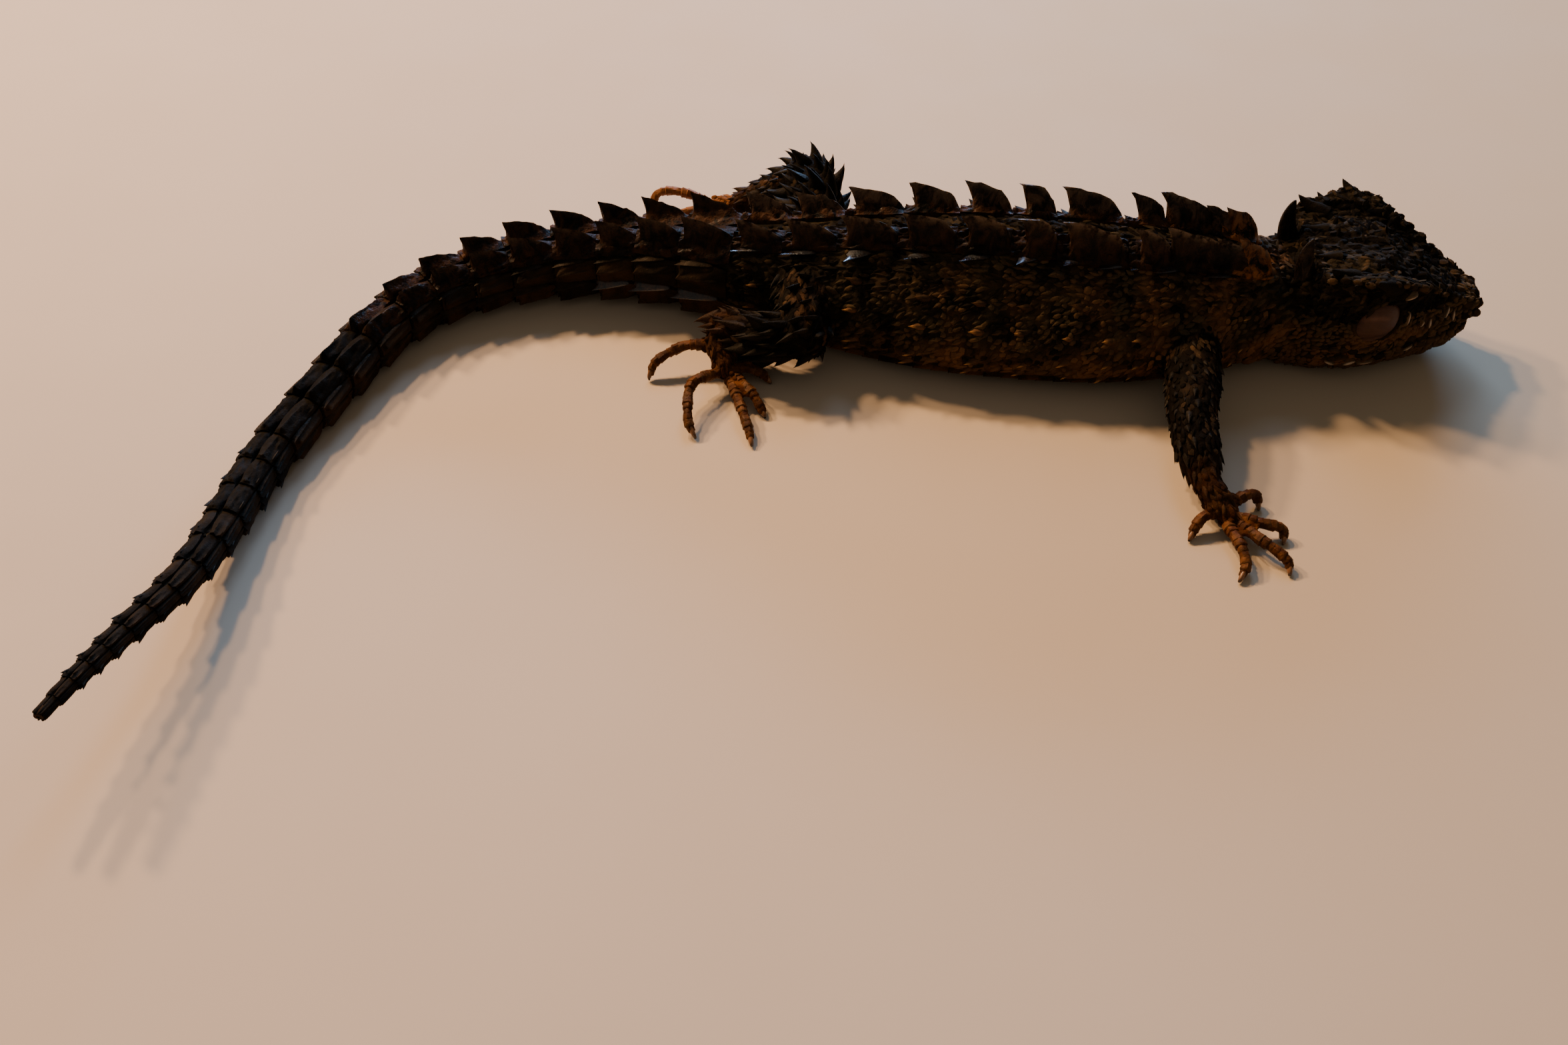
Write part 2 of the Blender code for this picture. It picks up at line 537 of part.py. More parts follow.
def make_body():
    """Neck, torso, hips and the three lengths of the tail, each with its fins and spines."""
    lengths = (
        ("neck", HEAD_BACK, SHOULDER), ("torso", SHOULDER, HIP), ("pelvis", HIP, TAIL_ROOT),
        ("tail_base", TAIL_ROOT, TAIL_BASE_END),
        ("tail_middle", TAIL_BASE_END, TAIL_MIDDLE_END), ("tail_end", TAIL_MIDDLE_END, TAIL_TIP),
    )
    for name, start, end in lengths:
        start, end = nearest_front(start), nearest_front(end)
        cuts = whorl_cuts(start, end)
        cuts[0] = (start - GAP, cuts[0][1])
        cuts.append((end, cuts[-1][1] * 0.6))
        sides = BODY_SIDES if start > 0 else TAIL_SIDES
        obj = new_object(name, loft(name, body_rings(cuts, sides)), DARK, 0.55)
        whorls = [front for front in WHORLS if end - 0.01 < front < start + 0.01]
        meshes = []
        for front, rear in zip(whorls, whorls[1:]):
            meshes += whorl_spines(front, rear)
        join(obj, meshes)


def make_head():
    """Skull and jaw in one piece with lids, spikes and shields, and the eyes in their sockets."""
    places = np.linspace(0.0, HEAD_LENGTH, HEAD_RINGS)
    head = new_object("head", loft("head", [head_ring(x) for x in places]), DARK, 0.5)
    added, cut = [], []
    for name, side in (("eye_left", 1), ("eye_right", -1)):
        x, out, height = EYE_CENTRE
        centre = head_point(x, side * out, height)
        forward = head_direction(x, (1, 0, 0))
        turn = math.atan2(forward.y, forward.x) - side * EYE_TURN
        lid = [size + LID_THICKNESS + GAP for size in EYE_SIZE]
        lid[1] = EYE_SIZE[1] * 0.72
        added.append(ellipsoid(name + "_lid", centre, lid, turn))
        cut.append(ellipsoid(name + "_socket", centre, [size + GAP for size in EYE_SIZE], turn))
        new_object(name, ellipsoid(name, centre, EYE_SIZE, turn), MAUVE, 0.4)
        for (x, out, height), size in (NOSTRIL, EAR):
            cut.append(ellipsoid("opening", head_point(x, side * out, height), size, turn, 8))
        for (x, out, height), root, width, length in HEAD_SPIKES:
            tip = head_point(x, side * out, height)
            inward = head_direction(x, (root[0], side * root[1], root[2]))
            normal = -inward.normalized()
            forward = head_direction(x, (1, 0, 0))
            back = (normal * forward.dot(normal) - forward).normalized()
            added.append(spine(tip + inward, normal, back, 0.0, inward.length, width, length))
        (x, out, base), rise, width, length = NAPE_HORN
        added.append(spine(head_point(x, side * out, base), Vector((0, 0, 1)), head_direction(x, (-1, 0, 0)),
                           0.1, rise, width, length, (0.0, 0.4, 0.75)))
    centre, size = MOUTH_GAP
    forward = head_direction(centre[0], (1, 0, 0))
    cut.append(ellipsoid("mouth", head_point(*centre), size, math.atan2(forward.y, forward.x)))
    join(head, added)
    join(head, cut, "DIFFERENCE")


def limb_scales(points, span, layout, clear_of):
    """Pointed scales round a limb that lean towards the foot, apart from those near a neighbour."""
    rings, around, reach, rise, width = layout
    sections = tube_sections(points, 41)
    meshes = []
    for row in range(rings):
        share = span[0] + (span[1] - span[0]) * (row + 0.5) / rings
        section = sections[round(share * 40)]
        for k in range(around):
            turn = 2 * math.pi * (k + 0.5 * (row % 2)) / around + DRAW.uniform(-0.12, 0.12)
            point = section_point(section, turn)
            if point.z < 1.2 or clear_of(point):
                continue
            normal = (point - section[0]).normalized()
            size = DRAW.uniform(0.8, 1.2) * min(1.0, section[2] / 3.0)
            meshes.append(spine(point - normal * 0.1, normal, section[1], reach * size, rise * size,
                                width * size, width * 1.3 * size))
    return meshes


def near_body(point):
    """Whether a point is so close to the trunk that a scale there would touch it."""
    distances, places, _ = AXIS
    gaps = np.hypot(places[:, 0] - point.x, places[:, 1] - point.y)
    i = int(np.argmin(gaps))
    return gaps[i] < float(curve_value(BODY_PROFILE, distances[i])[0]) + 2.6


def make_limb(limb, names):
    """Upper length, lower length and foot of a limb, each cut clear of what it grows from."""
    upper_name, lower_name, foot_name = names
    shell_cuts = [(distance, 0.0) for distance in np.arange(-20.0, HEAD_BACK, 2.4)]
    upper = new_object(upper_name, loft(upper_name, tube_rings(limb["upper"], LIMB_RINGS, LIMB_SIDES)),
                       DARK, 0.6)
    join(upper, limb_scales(limb["upper"], (0.3, 0.95), UPPER_LIMB_SCALES,
                            lambda point: near_body(point) or near_tube(point, limb["lower"], 2.2)))
    join(upper, [loft("shell", body_rings(shell_cuts, BODY_SIDES, GAP))], "DIFFERENCE")
    lower = new_object(lower_name, loft(lower_name, tube_rings(limb["lower"], LIMB_RINGS, LIMB_SIDES)),
                       DARK, 0.6)
    join(lower, limb_scales(limb["lower"], (0.3, 0.9), LOWER_LIMB_SCALES,
                            lambda point: near_tube(point, limb["upper"], 1.7)
                            or near_tube(point, limb["sole"], 2.3)))
    join(lower, [loft("shell", tube_rings(limb["upper"], LIMB_RINGS, LIMB_SIDES, GAP))], "DIFFERENCE")
    foot = new_object(foot_name, loft(foot_name, tube_rings(limb["sole"], 5, SOLE_SIDES)), AMBER, 0.45)
    meshes = []
    for root, middle, tip, claw in limb["digits"]:
        points = ((*root, DIGIT_RADIUS), (*middle, DIGIT_RADIUS), (*tip, DIGIT_TIP_RADIUS),
                  (*claw, CLAW_TIP_RADIUS))
        meshes.append(loft("digit", tube_rings(points, DIGIT_RINGS, DIGIT_SIDES, 0.0, False)))
    join(foot, meshes)
    join(foot, [loft("shell", tube_rings(limb["lower"], LIMB_RINGS, LIMB_SIDES, GAP))], "DIFFERENCE")


for old in list(bpy.data.objects):
    bpy.data.objects.remove(old)
ANIMAL = bpy.data.collections.new("crocodile_skink")
bpy.context.scene.collection.children.link(ANIMAL)
DRAW = np.random.default_rng(SEED)
LIMBS = {"arm_right": RIGHT_FORE, "leg_right": RIGHT_HIND, "arm_left": LEFT_FORE, "leg_left": LEFT_HIND}

make_body()
make_head()
for side in ("right", "left"):
    make_limb(LIMBS["arm_" + side], ("upper_arm_" + side, "forearm_" + side, "hand_" + side))
    make_limb(LIMBS["leg_" + side], ("thigh_" + side, "shin_" + side, "foot_" + side))
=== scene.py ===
"""Looks of a life-size white-eyed crocodile skink that lies still on a plain floor.

One skin covers the whole animal, and solid scales, fins, plates, spines and claws grow on it.
Places are worked out in millimetres and turned into metres when a mesh is made.
A place on the body is a distance along its axis line from the vent and an angle round it:
angle 0 is the left side and 90 degrees is the middle of the back.
"""
import math

import bmesh
import bpy
import numpy as np
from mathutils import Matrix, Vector
from mathutils.bvhtree import BVHTree
from mathutils.kdtree import KDTree


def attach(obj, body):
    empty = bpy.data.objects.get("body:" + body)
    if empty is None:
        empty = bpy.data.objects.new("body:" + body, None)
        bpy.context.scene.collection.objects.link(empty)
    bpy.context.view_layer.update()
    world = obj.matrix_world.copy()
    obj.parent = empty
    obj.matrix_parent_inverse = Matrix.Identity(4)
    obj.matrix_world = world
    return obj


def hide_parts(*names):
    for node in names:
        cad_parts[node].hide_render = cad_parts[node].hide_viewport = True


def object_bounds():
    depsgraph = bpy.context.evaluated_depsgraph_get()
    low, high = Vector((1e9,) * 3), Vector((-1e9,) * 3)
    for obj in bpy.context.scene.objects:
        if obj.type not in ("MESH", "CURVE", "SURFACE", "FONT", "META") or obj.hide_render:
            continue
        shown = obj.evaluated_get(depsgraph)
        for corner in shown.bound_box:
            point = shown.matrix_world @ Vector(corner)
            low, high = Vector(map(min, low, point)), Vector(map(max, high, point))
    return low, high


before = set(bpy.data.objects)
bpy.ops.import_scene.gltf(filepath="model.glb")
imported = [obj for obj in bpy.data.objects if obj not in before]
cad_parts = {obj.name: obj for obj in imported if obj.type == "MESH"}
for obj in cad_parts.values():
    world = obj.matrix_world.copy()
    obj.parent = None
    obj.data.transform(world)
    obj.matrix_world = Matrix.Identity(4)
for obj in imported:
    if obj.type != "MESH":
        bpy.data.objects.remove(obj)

CAD_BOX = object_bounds()
INSIDE = [np.array(corner) + share for corner, share in zip(CAD_BOX, (2e-5, -2e-5))]
MM = 0.001
SHIFT = np.array((0.4, 1.2, 0.0))
HEAD_BACK, SNOUT, TAIL_TIP = 61.6, 90.0, -126.5
VENT_PLACE = (-8.7, 25.2)
SKIN_DEPTH = 0.3
RNG = np.random.default_rng(11)

# heading of the axis line in degrees at each distance from the vent
AXIS_HEADINGS = (
    (-128.0, 75), (-116, 73), (-108, 71), (-100, 81), (-91, 83), (-80, 75), (-72, 66.5),
    (-62, 66), (-53, 53), (-45, 32), (-36, 17), (-26, 2), (-18, -8), (0, -13), (12, -11),
    (25, -7.5), (44, -4), (54, 1), (63, 3), (72, -3), (90, -5),
)
# distance, half width, height of the back and height of the belly
BODY_PROFILE = (
    (-126.5, 0.45, 11.3, 10.4), (-121, 0.75, 10.7, 9.1), (-115, 1.0, 9.7, 7.6),
    (-108, 1.3, 8.4, 5.8), (-100, 1.65, 6.9, 3.5), (-92, 1.95, 5.7, 1.5), (-84, 2.15, 4.9, 0.4),
    (-76, 2.3, 4.8, -0.1), (-66, 2.55, 5.2, -0.1), (-56, 2.85, 5.9, -0.1), (-46, 3.2, 6.7, -0.1),
    (-36, 3.6, 7.5, -0.1), (-26, 4.0, 8.5, -0.1), (-16, 4.6, 10.2, -0.15), (-8, 5.6, 11.4, -0.2),
    (0, 7.5, 12.8, -0.2), (8, 10.0, 14.6, -0.2), (17, 11.9, 16.2, -0.2), (28, 12.6, 17.4, -0.2),
    (40, 12.2, 17.2, -0.2), (49, 10.4, 16.2, -0.2), (56, 8.3, 14.7, -0.1), (62.0, 7.4, 13.4, 0.2),
    (67.0, 7.2, 13.0, 0.4),
)
# distance, share of the height at the widest place, roundness above it and below
SECTION_SHAPES = (
    (-126.0, 0.5, 2.5, 2.5), (-9, 0.5, 2.5, 2.5), (4, 0.42, 1.8, 3.1), (14, 0.4, 1.6, 3.2),
    (48, 0.4, 1.6, 3.2), (57, 0.45, 2.3, 3.2), (62, 0.45, 2.7, 3.2),
)
# lengths of the rings of plates from the nape to the tip of the tail
WHORL_LENGTHS = (
    3.5, 4.0, 2.5, 3.0, 3.0, 3.5, 3.0, 5.5, 5.5, 6.5, 7.0, 7.4, 6.9, 6.6, 7.0, 6.1, 5.5, 6.0, 6.0,
    5.5, 5.5, 5.5, 6.5, 6.0, 6.0, 6.5, 4.5, 4.5, 4.7, 4.3, 4.5, 4.4, 3.5, 3.5, 3.2, 2.6, 2.5, 2.5, 2.4,
)
# distance and height of the fins
FIN_HEIGHTS = (
    (-125.0, 0.15), (-112, 0.2), (-96, 0.4), (-79, 0.6), (-66, 1.1), (-54, 1.7), (-44, 2.3),
    (-31, 3.1), (-13, 3.5), (7, 3.3), (15, 3.2), (28, 3.5), (38, 3.9), (47, 4.2), (54, 3.7),
    (59, 3.0), (60, 0.5), (62, 0.3),
)
# distance from the head's back, roof, then half width and height of edge, cheek, lip and jaw
HEAD_PROFILE = (
    (0.0, 13.0, 5.2, 12.4, 7.2, 7.6, 7.2, 4.4, 5.4, 0.2),
    (1.8, 13.2, 5.8, 13.0, 7.8, 7.8, 7.8, 4.3, 5.8, 0.0),
    (3.2, 14.6, 7.6, 14.9, 8.7, 8.0, 8.4, 4.3, 6.1, 0.0),
    (6.0, 14.8, 9.0, 15.6, 9.3, 8.2, 8.9, 4.3, 6.4, 0.0),
    (9.4, 15.0, 10.1, 16.0, 9.7, 8.2, 9.0, 4.3, 6.3, 0.0),
    (12.4, 14.5, 9.1, 15.5, 8.9, 8.2, 8.5, 4.4, 5.6, 0.1),
    (16.0, 12.9, 7.1, 13.7, 7.4, 7.9, 7.0, 4.6, 4.8, 0.3),
    (20.0, 10.9, 4.8, 11.2, 5.3, 7.4, 5.2, 4.9, 3.6, 0.9),
    (23.0, 9.4, 3.4, 9.6, 3.8, 7.1, 3.7, 5.3, 2.4, 2.0),
    (24.6, 8.7, 2.6, 8.7, 2.9, 7.0, 2.6, 5.7, 1.4, 3.7),
    (25.6, 8.2, 2.0, 8.1, 2.2, 6.9, 1.9, 6.0, 0.8, 5.1),
    (26.4, 7.5, 1.4, 7.4, 1.5, 6.9, 1.3, 6.4, 0.5, 6.1),
)
# head spikes: place of the tip, way to the root, width and length
HEAD_SPIKES = (
    ((8.7, 10.7, 16.9), (1.3, -1.6, -1.7), 2.2, 3.2),
    ((6.0, 9.7, 15.6), (1.0, -1.3, -1.2), 1.7, 2.2),
    ((3.2, 7.7, 16.6), (1.8, -0.9, -1.8), 2.2, 3.0),
    ((2.6, 3.0, 15.2), (1.8, -0.2, -0.9), 1.9, 2.4),
    ((24.9, 2.2, 9.0), (0.3, -0.7, -0.6), 1.3, 1.5),
)
# limbs: x, y, height and radius along each length, and x, y, height along each digit
RIGHT_FORE = {
    "upper": ((41.0, 11.0, 5.6, 3.8), (40.2, 4.6, 5.6, 3.6), (38.8, -2.8, 5.6, 3.2)),
    "lower": ((38.8, -2.8, 5.6, 3.1), (38.9, -7.4, 4.5, 2.9), (39.4, -11.4, 3.2, 2.0)),
    "sole": ((39.4, -11.4, 3.2, 1.9), (41.0, -14.2, 1.9, 1.8), (42.2, -16.0, 1.2, 1.1)),
    "digits": (((41.7, -13.6, 1.6), (43.9, -12.2, 2.0), (45.4, -11.6, 1.4), (45.6, -12.8, 0.15)),
               ((42.3, -15.1, 1.6), (44.6, -16.4, 1.9), (47.4, -16.7, 1.2), (47.2, -18.2, 0.15)),
               ((42.3, -16.0, 1.4), (44.4, -19.0, 1.8), (46.9, -21.4, 1.1), (46.9, -22.8, 0.15)),
               ((41.2, -16.3, 1.4), (41.9, -19.8, 1.8), (42.2, -22.2, 1.1), (41.2, -23.9, 0.15)),
               ((40.2, -14.6, 1.8), (38.6, -15.4, 1.8), (37.6, -16.4, 1.1), (36.9, -17.6, 0.15))),
}
LEFT_FORE = {
    "upper": ((42.0, 24.0, 5.6, 3.6), (39.0, 29.8, 4.4, 3.2), (35.8, 33.6, 3.6, 2.9)),
    "lower": ((35.8, 33.6, 3.6, 2.8), (39.2, 36.4, 3.1, 2.5), (43.0, 38.6, 2.4, 1.9)),
    "sole": ((43.0, 38.6, 2.4, 1.8), (45.2, 40.0, 1.7, 1.7), (46.8, 40.8, 1.2, 1.1)),
    "digits": (((44.8, 39.0, 1.4), (46.0, 36.8, 1.6), (47.6, 35.8, 1.1), (49.2, 35.6, 0.15)),
               ((46.0, 39.9, 1.4), (48.8, 38.6, 1.6), (51.2, 38.4, 1.1), (52.8, 38.6, 0.15)),
               ((46.6, 40.7, 1.3), (49.8, 41.0, 1.6), (52.4, 41.4, 1.1), (54.0, 41.8, 0.15)),
               ((46.2, 41.2, 1.3), (48.6, 43.0, 1.5), (50.6, 44.2, 1.0), (52.0, 45.0, 0.15)),
               ((44.6, 40.6, 1.4), (44.8, 42.8, 1.5), (45.4, 44.6, 1.0), (46.2, 45.8, 0.15))),
}
RIGHT_HIND = {
    "upper": ((-6.0, 22.0, 8.0, 4.3), (-6.4, 16.4, 7.4, 4.0), (-6.8, 11.7, 6.2, 3.6)),
    "lower": ((-6.8, 11.7, 6.2, 3.5), (-11.8, 12.3, 5.4, 3.0), (-16.6, 14.8, 5.0, 2.2)),
    "sole": ((-16.8, 15.0, 4.9, 2.0), (-17.0, 12.6, 3.7, 1.9), (-16.2, 10.2, 2.4, 1.8),
             (-15.6, 8.6, 1.7, 1.1)),
    "digits": (((-15.6, 10.6, 2.4), (-13.2, 9.9, 2.2), (-11.7, 9.9, 1.4), (-10.8, 9.4, 0.15)),
               ((-15.2, 9.0, 1.8), (-13.2, 6.2, 1.8), (-12.0, 4.4, 1.1), (-11.4, 3.2, 0.15)),
               ((-15.8, 8.8, 1.6), (-14.5, 4.1, 1.9), (-13.3, 0.1, 1.1), (-12.9, -2.1, 0.15)),
               ((-16.6, 9.6, 2.0), (-20.2, 6.2, 3.0), (-20.6, 1.4, 1.7), (-19.6, -0.7, 0.15)),
               ((-17.6, 13.2, 3.4), (-21.6, 13.0, 3.2), (-25.0, 11.4, 2.0), (-25.8, 10.0, 0.15))),
}
LEFT_HIND = {
    "upper": ((-4.6, 29.0, 8.0, 4.2), (-4.8, 34.8, 9.4, 3.8), (-5.8, 39.4, 10.0, 3.5)),
    "lower": ((-5.8, 39.4, 10.0, 3.4), (-10.2, 41.0, 7.0, 2.8), (-14.6, 42.2, 4.2, 2.1)),
    "sole": ((-14.8, 42.4, 4.0, 1.9), (-17.0, 43.6, 2.8, 1.8), (-18.6, 45.0, 1.8, 1.6),
             (-19.4, 45.8, 1.4, 1.0)),
    "digits": (((-17.2, 44.2, 1.8), (-15.0, 45.0, 1.6), (-13.2, 45.0, 1.1), (-12.0, 44.6, 0.15)),
               ((-18.2, 45.2, 1.6), (-16.2, 46.6, 1.6), (-14.6, 47.0, 1.1), (-13.4, 46.8, 0.15)),
               ((-18.8, 44.8, 1.6), (-22.2, 43.8, 1.8), (-25.0, 42.4, 1.2), (-26.6, 41.4, 0.15)),
               ((-19.0, 45.6, 1.7), (-22.8, 46.6, 3.0), (-26.6, 46.8, 2.8), (-27.6, 45.4, 0.15)),
               ((-17.8, 44.0, 1.9), (-20.8, 42.0, 1.8), (-22.8, 40.4, 1.2), (-23.8, 39.2, 0.15))),
}
FIN_ROW_OFFSET = 3.0
EYE_CENTRE, EYE_SIZE, EYE_TURN = (10.9, 8.1, 9.8), (2.2, 1.5, 2.0), math.radians(20)
NAPE_HORN = ((2.0, 4.0, 12.9), 5.4, 1.6, 3.0)
LIMBS = {"arm_right": RIGHT_FORE, "leg_right": RIGHT_HIND, "arm_left": LEFT_FORE, "leg_left": LEFT_HIND}
DIGIT_RADII = (0.74, 0.74, 0.6, 0.22)


# shapes of the body in numbers


def curve(table, at):
    """Columns of a table at some distances, along a smooth curve through its rows."""
    rows = np.asarray(table, float)
    place, values = rows[:, 0], rows[:, 1:]
    slope = np.gradient(values, place, axis=0)
    at = np.atleast_1d(np.asarray(at, float))
    i = np.clip(np.searchsorted(place, at) - 1, 0, len(place) - 2)
    span = (place[i + 1] - place[i])[:, None]
    t = np.clip((at - place[i])[:, None] / span, 0, 1)
    return ((2 * t ** 3 - 3 * t ** 2 + 1) * values[i] + (t ** 3 - 2 * t ** 2 + t) * span * slope[i]
            + (3 * t ** 2 - 2 * t ** 3) * values[i + 1] + (t ** 3 - t ** 2) * span * slope[i + 1])


def unit(v):
    """Rows of an array at length one."""
    return v / np.maximum(np.linalg.norm(v, axis=-1, keepdims=True), 1e-9)


def smooth(low, high, x):
    """0 below one value and 1 above the other, with a soft step between."""
    t = np.clip((np.asarray(x, float) - low) / (high - low), 0, 1)
    return t * t * (3 - 2 * t)


def noise(p, seed=0):
    """Smooth noise between -1 and 1 at some points."""
    p = np.asarray(p, float)
    cell = np.floor(p).astype(np.int64)
    f = p - cell
    f = f * f * (3 - 2 * f)
    total = np.zeros(len(p))
    for corner in range(8):
        o = np.array((corner & 1, corner >> 1 & 1, corner >> 2))
        q = cell + o
        n = (q[:, 0] * 73856093) ^ (q[:, 1] * 19349663) ^ (q[:, 2] * 83492791) ^ (seed * 2654435761)
        n = (n ^ (n >> 13)) * 1274126177 & 0xffffffff
        n = (n ^ (n >> 16)) & 0xffff
        weight = np.prod(np.where(o, f, 1 - f), axis=1)
        total += weight * (n / 32767.5 - 1)
    return total


def trace_axis():
    """Places and headings along the axis line, the same walk as the solids take."""
    distances = np.arange(TAIL_TIP - 1.0, SNOUT + 1.5, 0.5)
    headings = np.radians(curve(AXIS_HEADINGS, distances)[:, 0])
    steps = np.stack([np.cos(headings), np.sin(headings)], axis=1) * 0.5
    places = np.vstack([np.zeros(2), np.cumsum(steps[:-1], axis=0)])
    vent = int(np.argmin(abs(distances)))
    return distances, places - places[vent] + np.array(VENT_PLACE), headings


AXIS = trace_axis()
WHORLS = HEAD_BACK - np.cumsum((0.0,) + WHORL_LENGTHS)


def on_axis(s):
    """Centre, forward and left at some distances."""
    distances, places, headings = AXIS
    s = np.atleast_1d(np.asarray(s, float))
    h = np.interp(s, distances, headings)
    zero = np.zeros(len(s))
    centre = np.stack([np.interp(s, distances, places[:, 0]), np.interp(s, distances, places[:, 1]), zero], 1)
    forward = np.stack([np.cos(h), np.sin(h), zero], 1)
    return centre, forward, np.stack([-forward[:, 1], forward[:, 0], zero], 1)


def body(s, a, swell=0.0):
    """Points on the body at distances and angles, raised above it by swell."""
    s, a, swell = (np.ravel(x).astype(float) for x in np.broadcast_arrays(s, a, swell))
    half, top, bottom = curve(BODY_PROFILE, s).T
    level, above, below = curve(SECTION_SHAPES, s).T
    widest = bottom + level * (top - bottom)
    up = np.sin(a) > 0
    power = 2 / np.where(up, above, below)
    reach = np.where(up, top - widest, widest - bottom) + swell
    across = np.sign(np.cos(a)) * abs(np.cos(a)) ** power * (half + swell)
    rise = np.sign(np.sin(a)) * abs(np.sin(a)) ** power * reach
    centre, _, left = on_axis(s)
    point = centre + left * across[:, None]
    point[:, 2] = np.maximum(point[:, 2] + widest + rise, 0.0)
    return point


def body_frame(s, a):
    """Point, outward direction and backward direction on the body."""
    point = body(s, a)
    back = unit(body(np.asarray(s) - 0.4, a) - body(np.asarray(s) + 0.4, a))
    turn = body(s, np.asarray(a) + 0.03) - body(s, np.asarray(a) - 0.03)
    normal = unit(np.cross(turn, -back))
    middle = on_axis(s)[0]
    middle[:, 2] = curve(BODY_PROFILE, s)[:, 1:].mean(1)
    flip = np.sum(normal * (point - middle), 1) < 0
    normal[flip] *= -1
    return point, normal, back


def head_point(x, side, height):
    """Points of the head's own frame in the model's frame."""
    x, side, height = (np.ravel(v).astype(float) for v in np.broadcast_arrays(x, side, height))
    centre, _, left = on_axis(HEAD_BACK + x)
    point = centre + left * side[:, None]
    point[:, 2] += height
    return point


def head_direction(x, v):
    """A direction of the head's own frame in the model's frame."""
    _, forward, left = on_axis(HEAD_BACK + x)
    return forward[0] * v[0] + left[0] * v[1] + np.array((0, 0, v[2]))


def head_ring(x):
    """Control points of one section of the head, up the left side and down the right."""
    roof, edge_w, edge_z, cheek_w, cheek_z, lip_w, lip_z, jaw_w, jaw_z = curve(HEAD_PROFILE, x)[0]
    groove = 0.5 * min(1.0, lip_w / 3.0)
    lip = min(0.5, (lip_z - jaw_z) * 0.4)
    half = [(0.0, jaw_z), (jaw_w * 0.6, jaw_z), (jaw_w, jaw_z + 0.25),
            (jaw_w * 0.45 + lip_w * 0.55 + 0.3, (jaw_z + lip_z) / 2 - 0.2), (lip_w, lip_z - lip),
            (lip_w - groove, lip_z), (lip_w + 0.1, lip_z + lip),
            (lip_w * 0.5 + cheek_w * 0.5, lip_z * 0.4 + cheek_z * 0.6), (cheek_w, cheek_z),
            (cheek_w * 0.62 + edge_w * 0.38 - 0.15, cheek_z * 0.62 + edge_z * 0.38),
            (cheek_w * 0.3 + edge_w * 0.7 - 0.3, cheek_z * 0.3 + edge_z * 0.7),
            (edge_w, edge_z), (edge_w * 0.86, edge_z + 0.2), (edge_w * 0.62, roof),
            (edge_w * 0.34, roof + 0.4), (0.0, roof)]
    return np.array(half + [(-w, z) for w, z in half[-2:0:-1]])


def centre_line(points, samples):
    """Rows of x, y, z and radius at samples along a smooth line through points."""
    return curve([(float(i), *point) for i, point in enumerate(points)], samples)


def tube_parts():
    """Centre line of each length of each limb: name, part, points with radii."""
    parts = []
    for name, limb in LIMBS.items():
        for part in ("upper", "lower", "sole"):
            parts.append((name, part, limb[part]))
        for k, digit in enumerate(limb["digits"]):
            parts.append((name, f"digit{k}", [(*p, r) for p, r in zip(digit, DIGIT_RADII)]))
    return parts


PARTS = tube_parts()


def tube_rings(points, count, sides):
    """Rings round a smooth line, with round ends."""
    line = centre_line(points, np.linspace(0, len(points) - 1, count))
    centre, radius = line[:, :3], line[:, 3]
    ahead = unit(np.gradient(centre, axis=0))
    for end, way in ((0, -1), (-1, 1)):
        turns = np.radians((0, 25, 50, 75))[::-way]
        cap = (centre[end] + way * ahead[end] * (radius[end] * np.sin(turns))[:, None],
               radius[end] * np.cos(turns), np.repeat(ahead[end][None], len(turns), 0))
        tube = (centre, radius, ahead)
        if way < 0:
            centre, radius, ahead = (np.concatenate((new, old[1:])) for new, old in zip(cap, tube))
        else:
            centre, radius, ahead = (np.concatenate((old[:-1], new)) for new, old in zip(cap, tube))
    across = unit(np.cross(ahead, (0, 0, 1)))
    up = np.cross(across, ahead)
    turn = np.linspace(0, 2 * math.pi, sides, endpoint=False)
    return (centre[:, None] + (across[:, None] * np.cos(turn)[None, :, None]
                               + up[:, None] * np.sin(turn)[None, :, None]) * radius[:, None, None])


def lofted(rings):
    """Points and faces of a closed loft through rings of equally many points."""
    rows, sides = rings.shape[:2]
    i, j = np.meshgrid(np.arange(rows - 1), np.arange(sides), indexing="ij")
    k = (j + 1) % sides
    quads = np.stack([i * sides + j, i * sides + k, (i + 1) * sides + k, (i + 1) * sides + j], -1)
    faces = [tuple(quad) for quad in quads.reshape(-1, 4)]
    faces += [tuple(range(sides))[::-1], tuple(range((rows - 1) * sides, rows * sides))]
    return rings.reshape(-1, 3), faces


# where a point of the skin lies


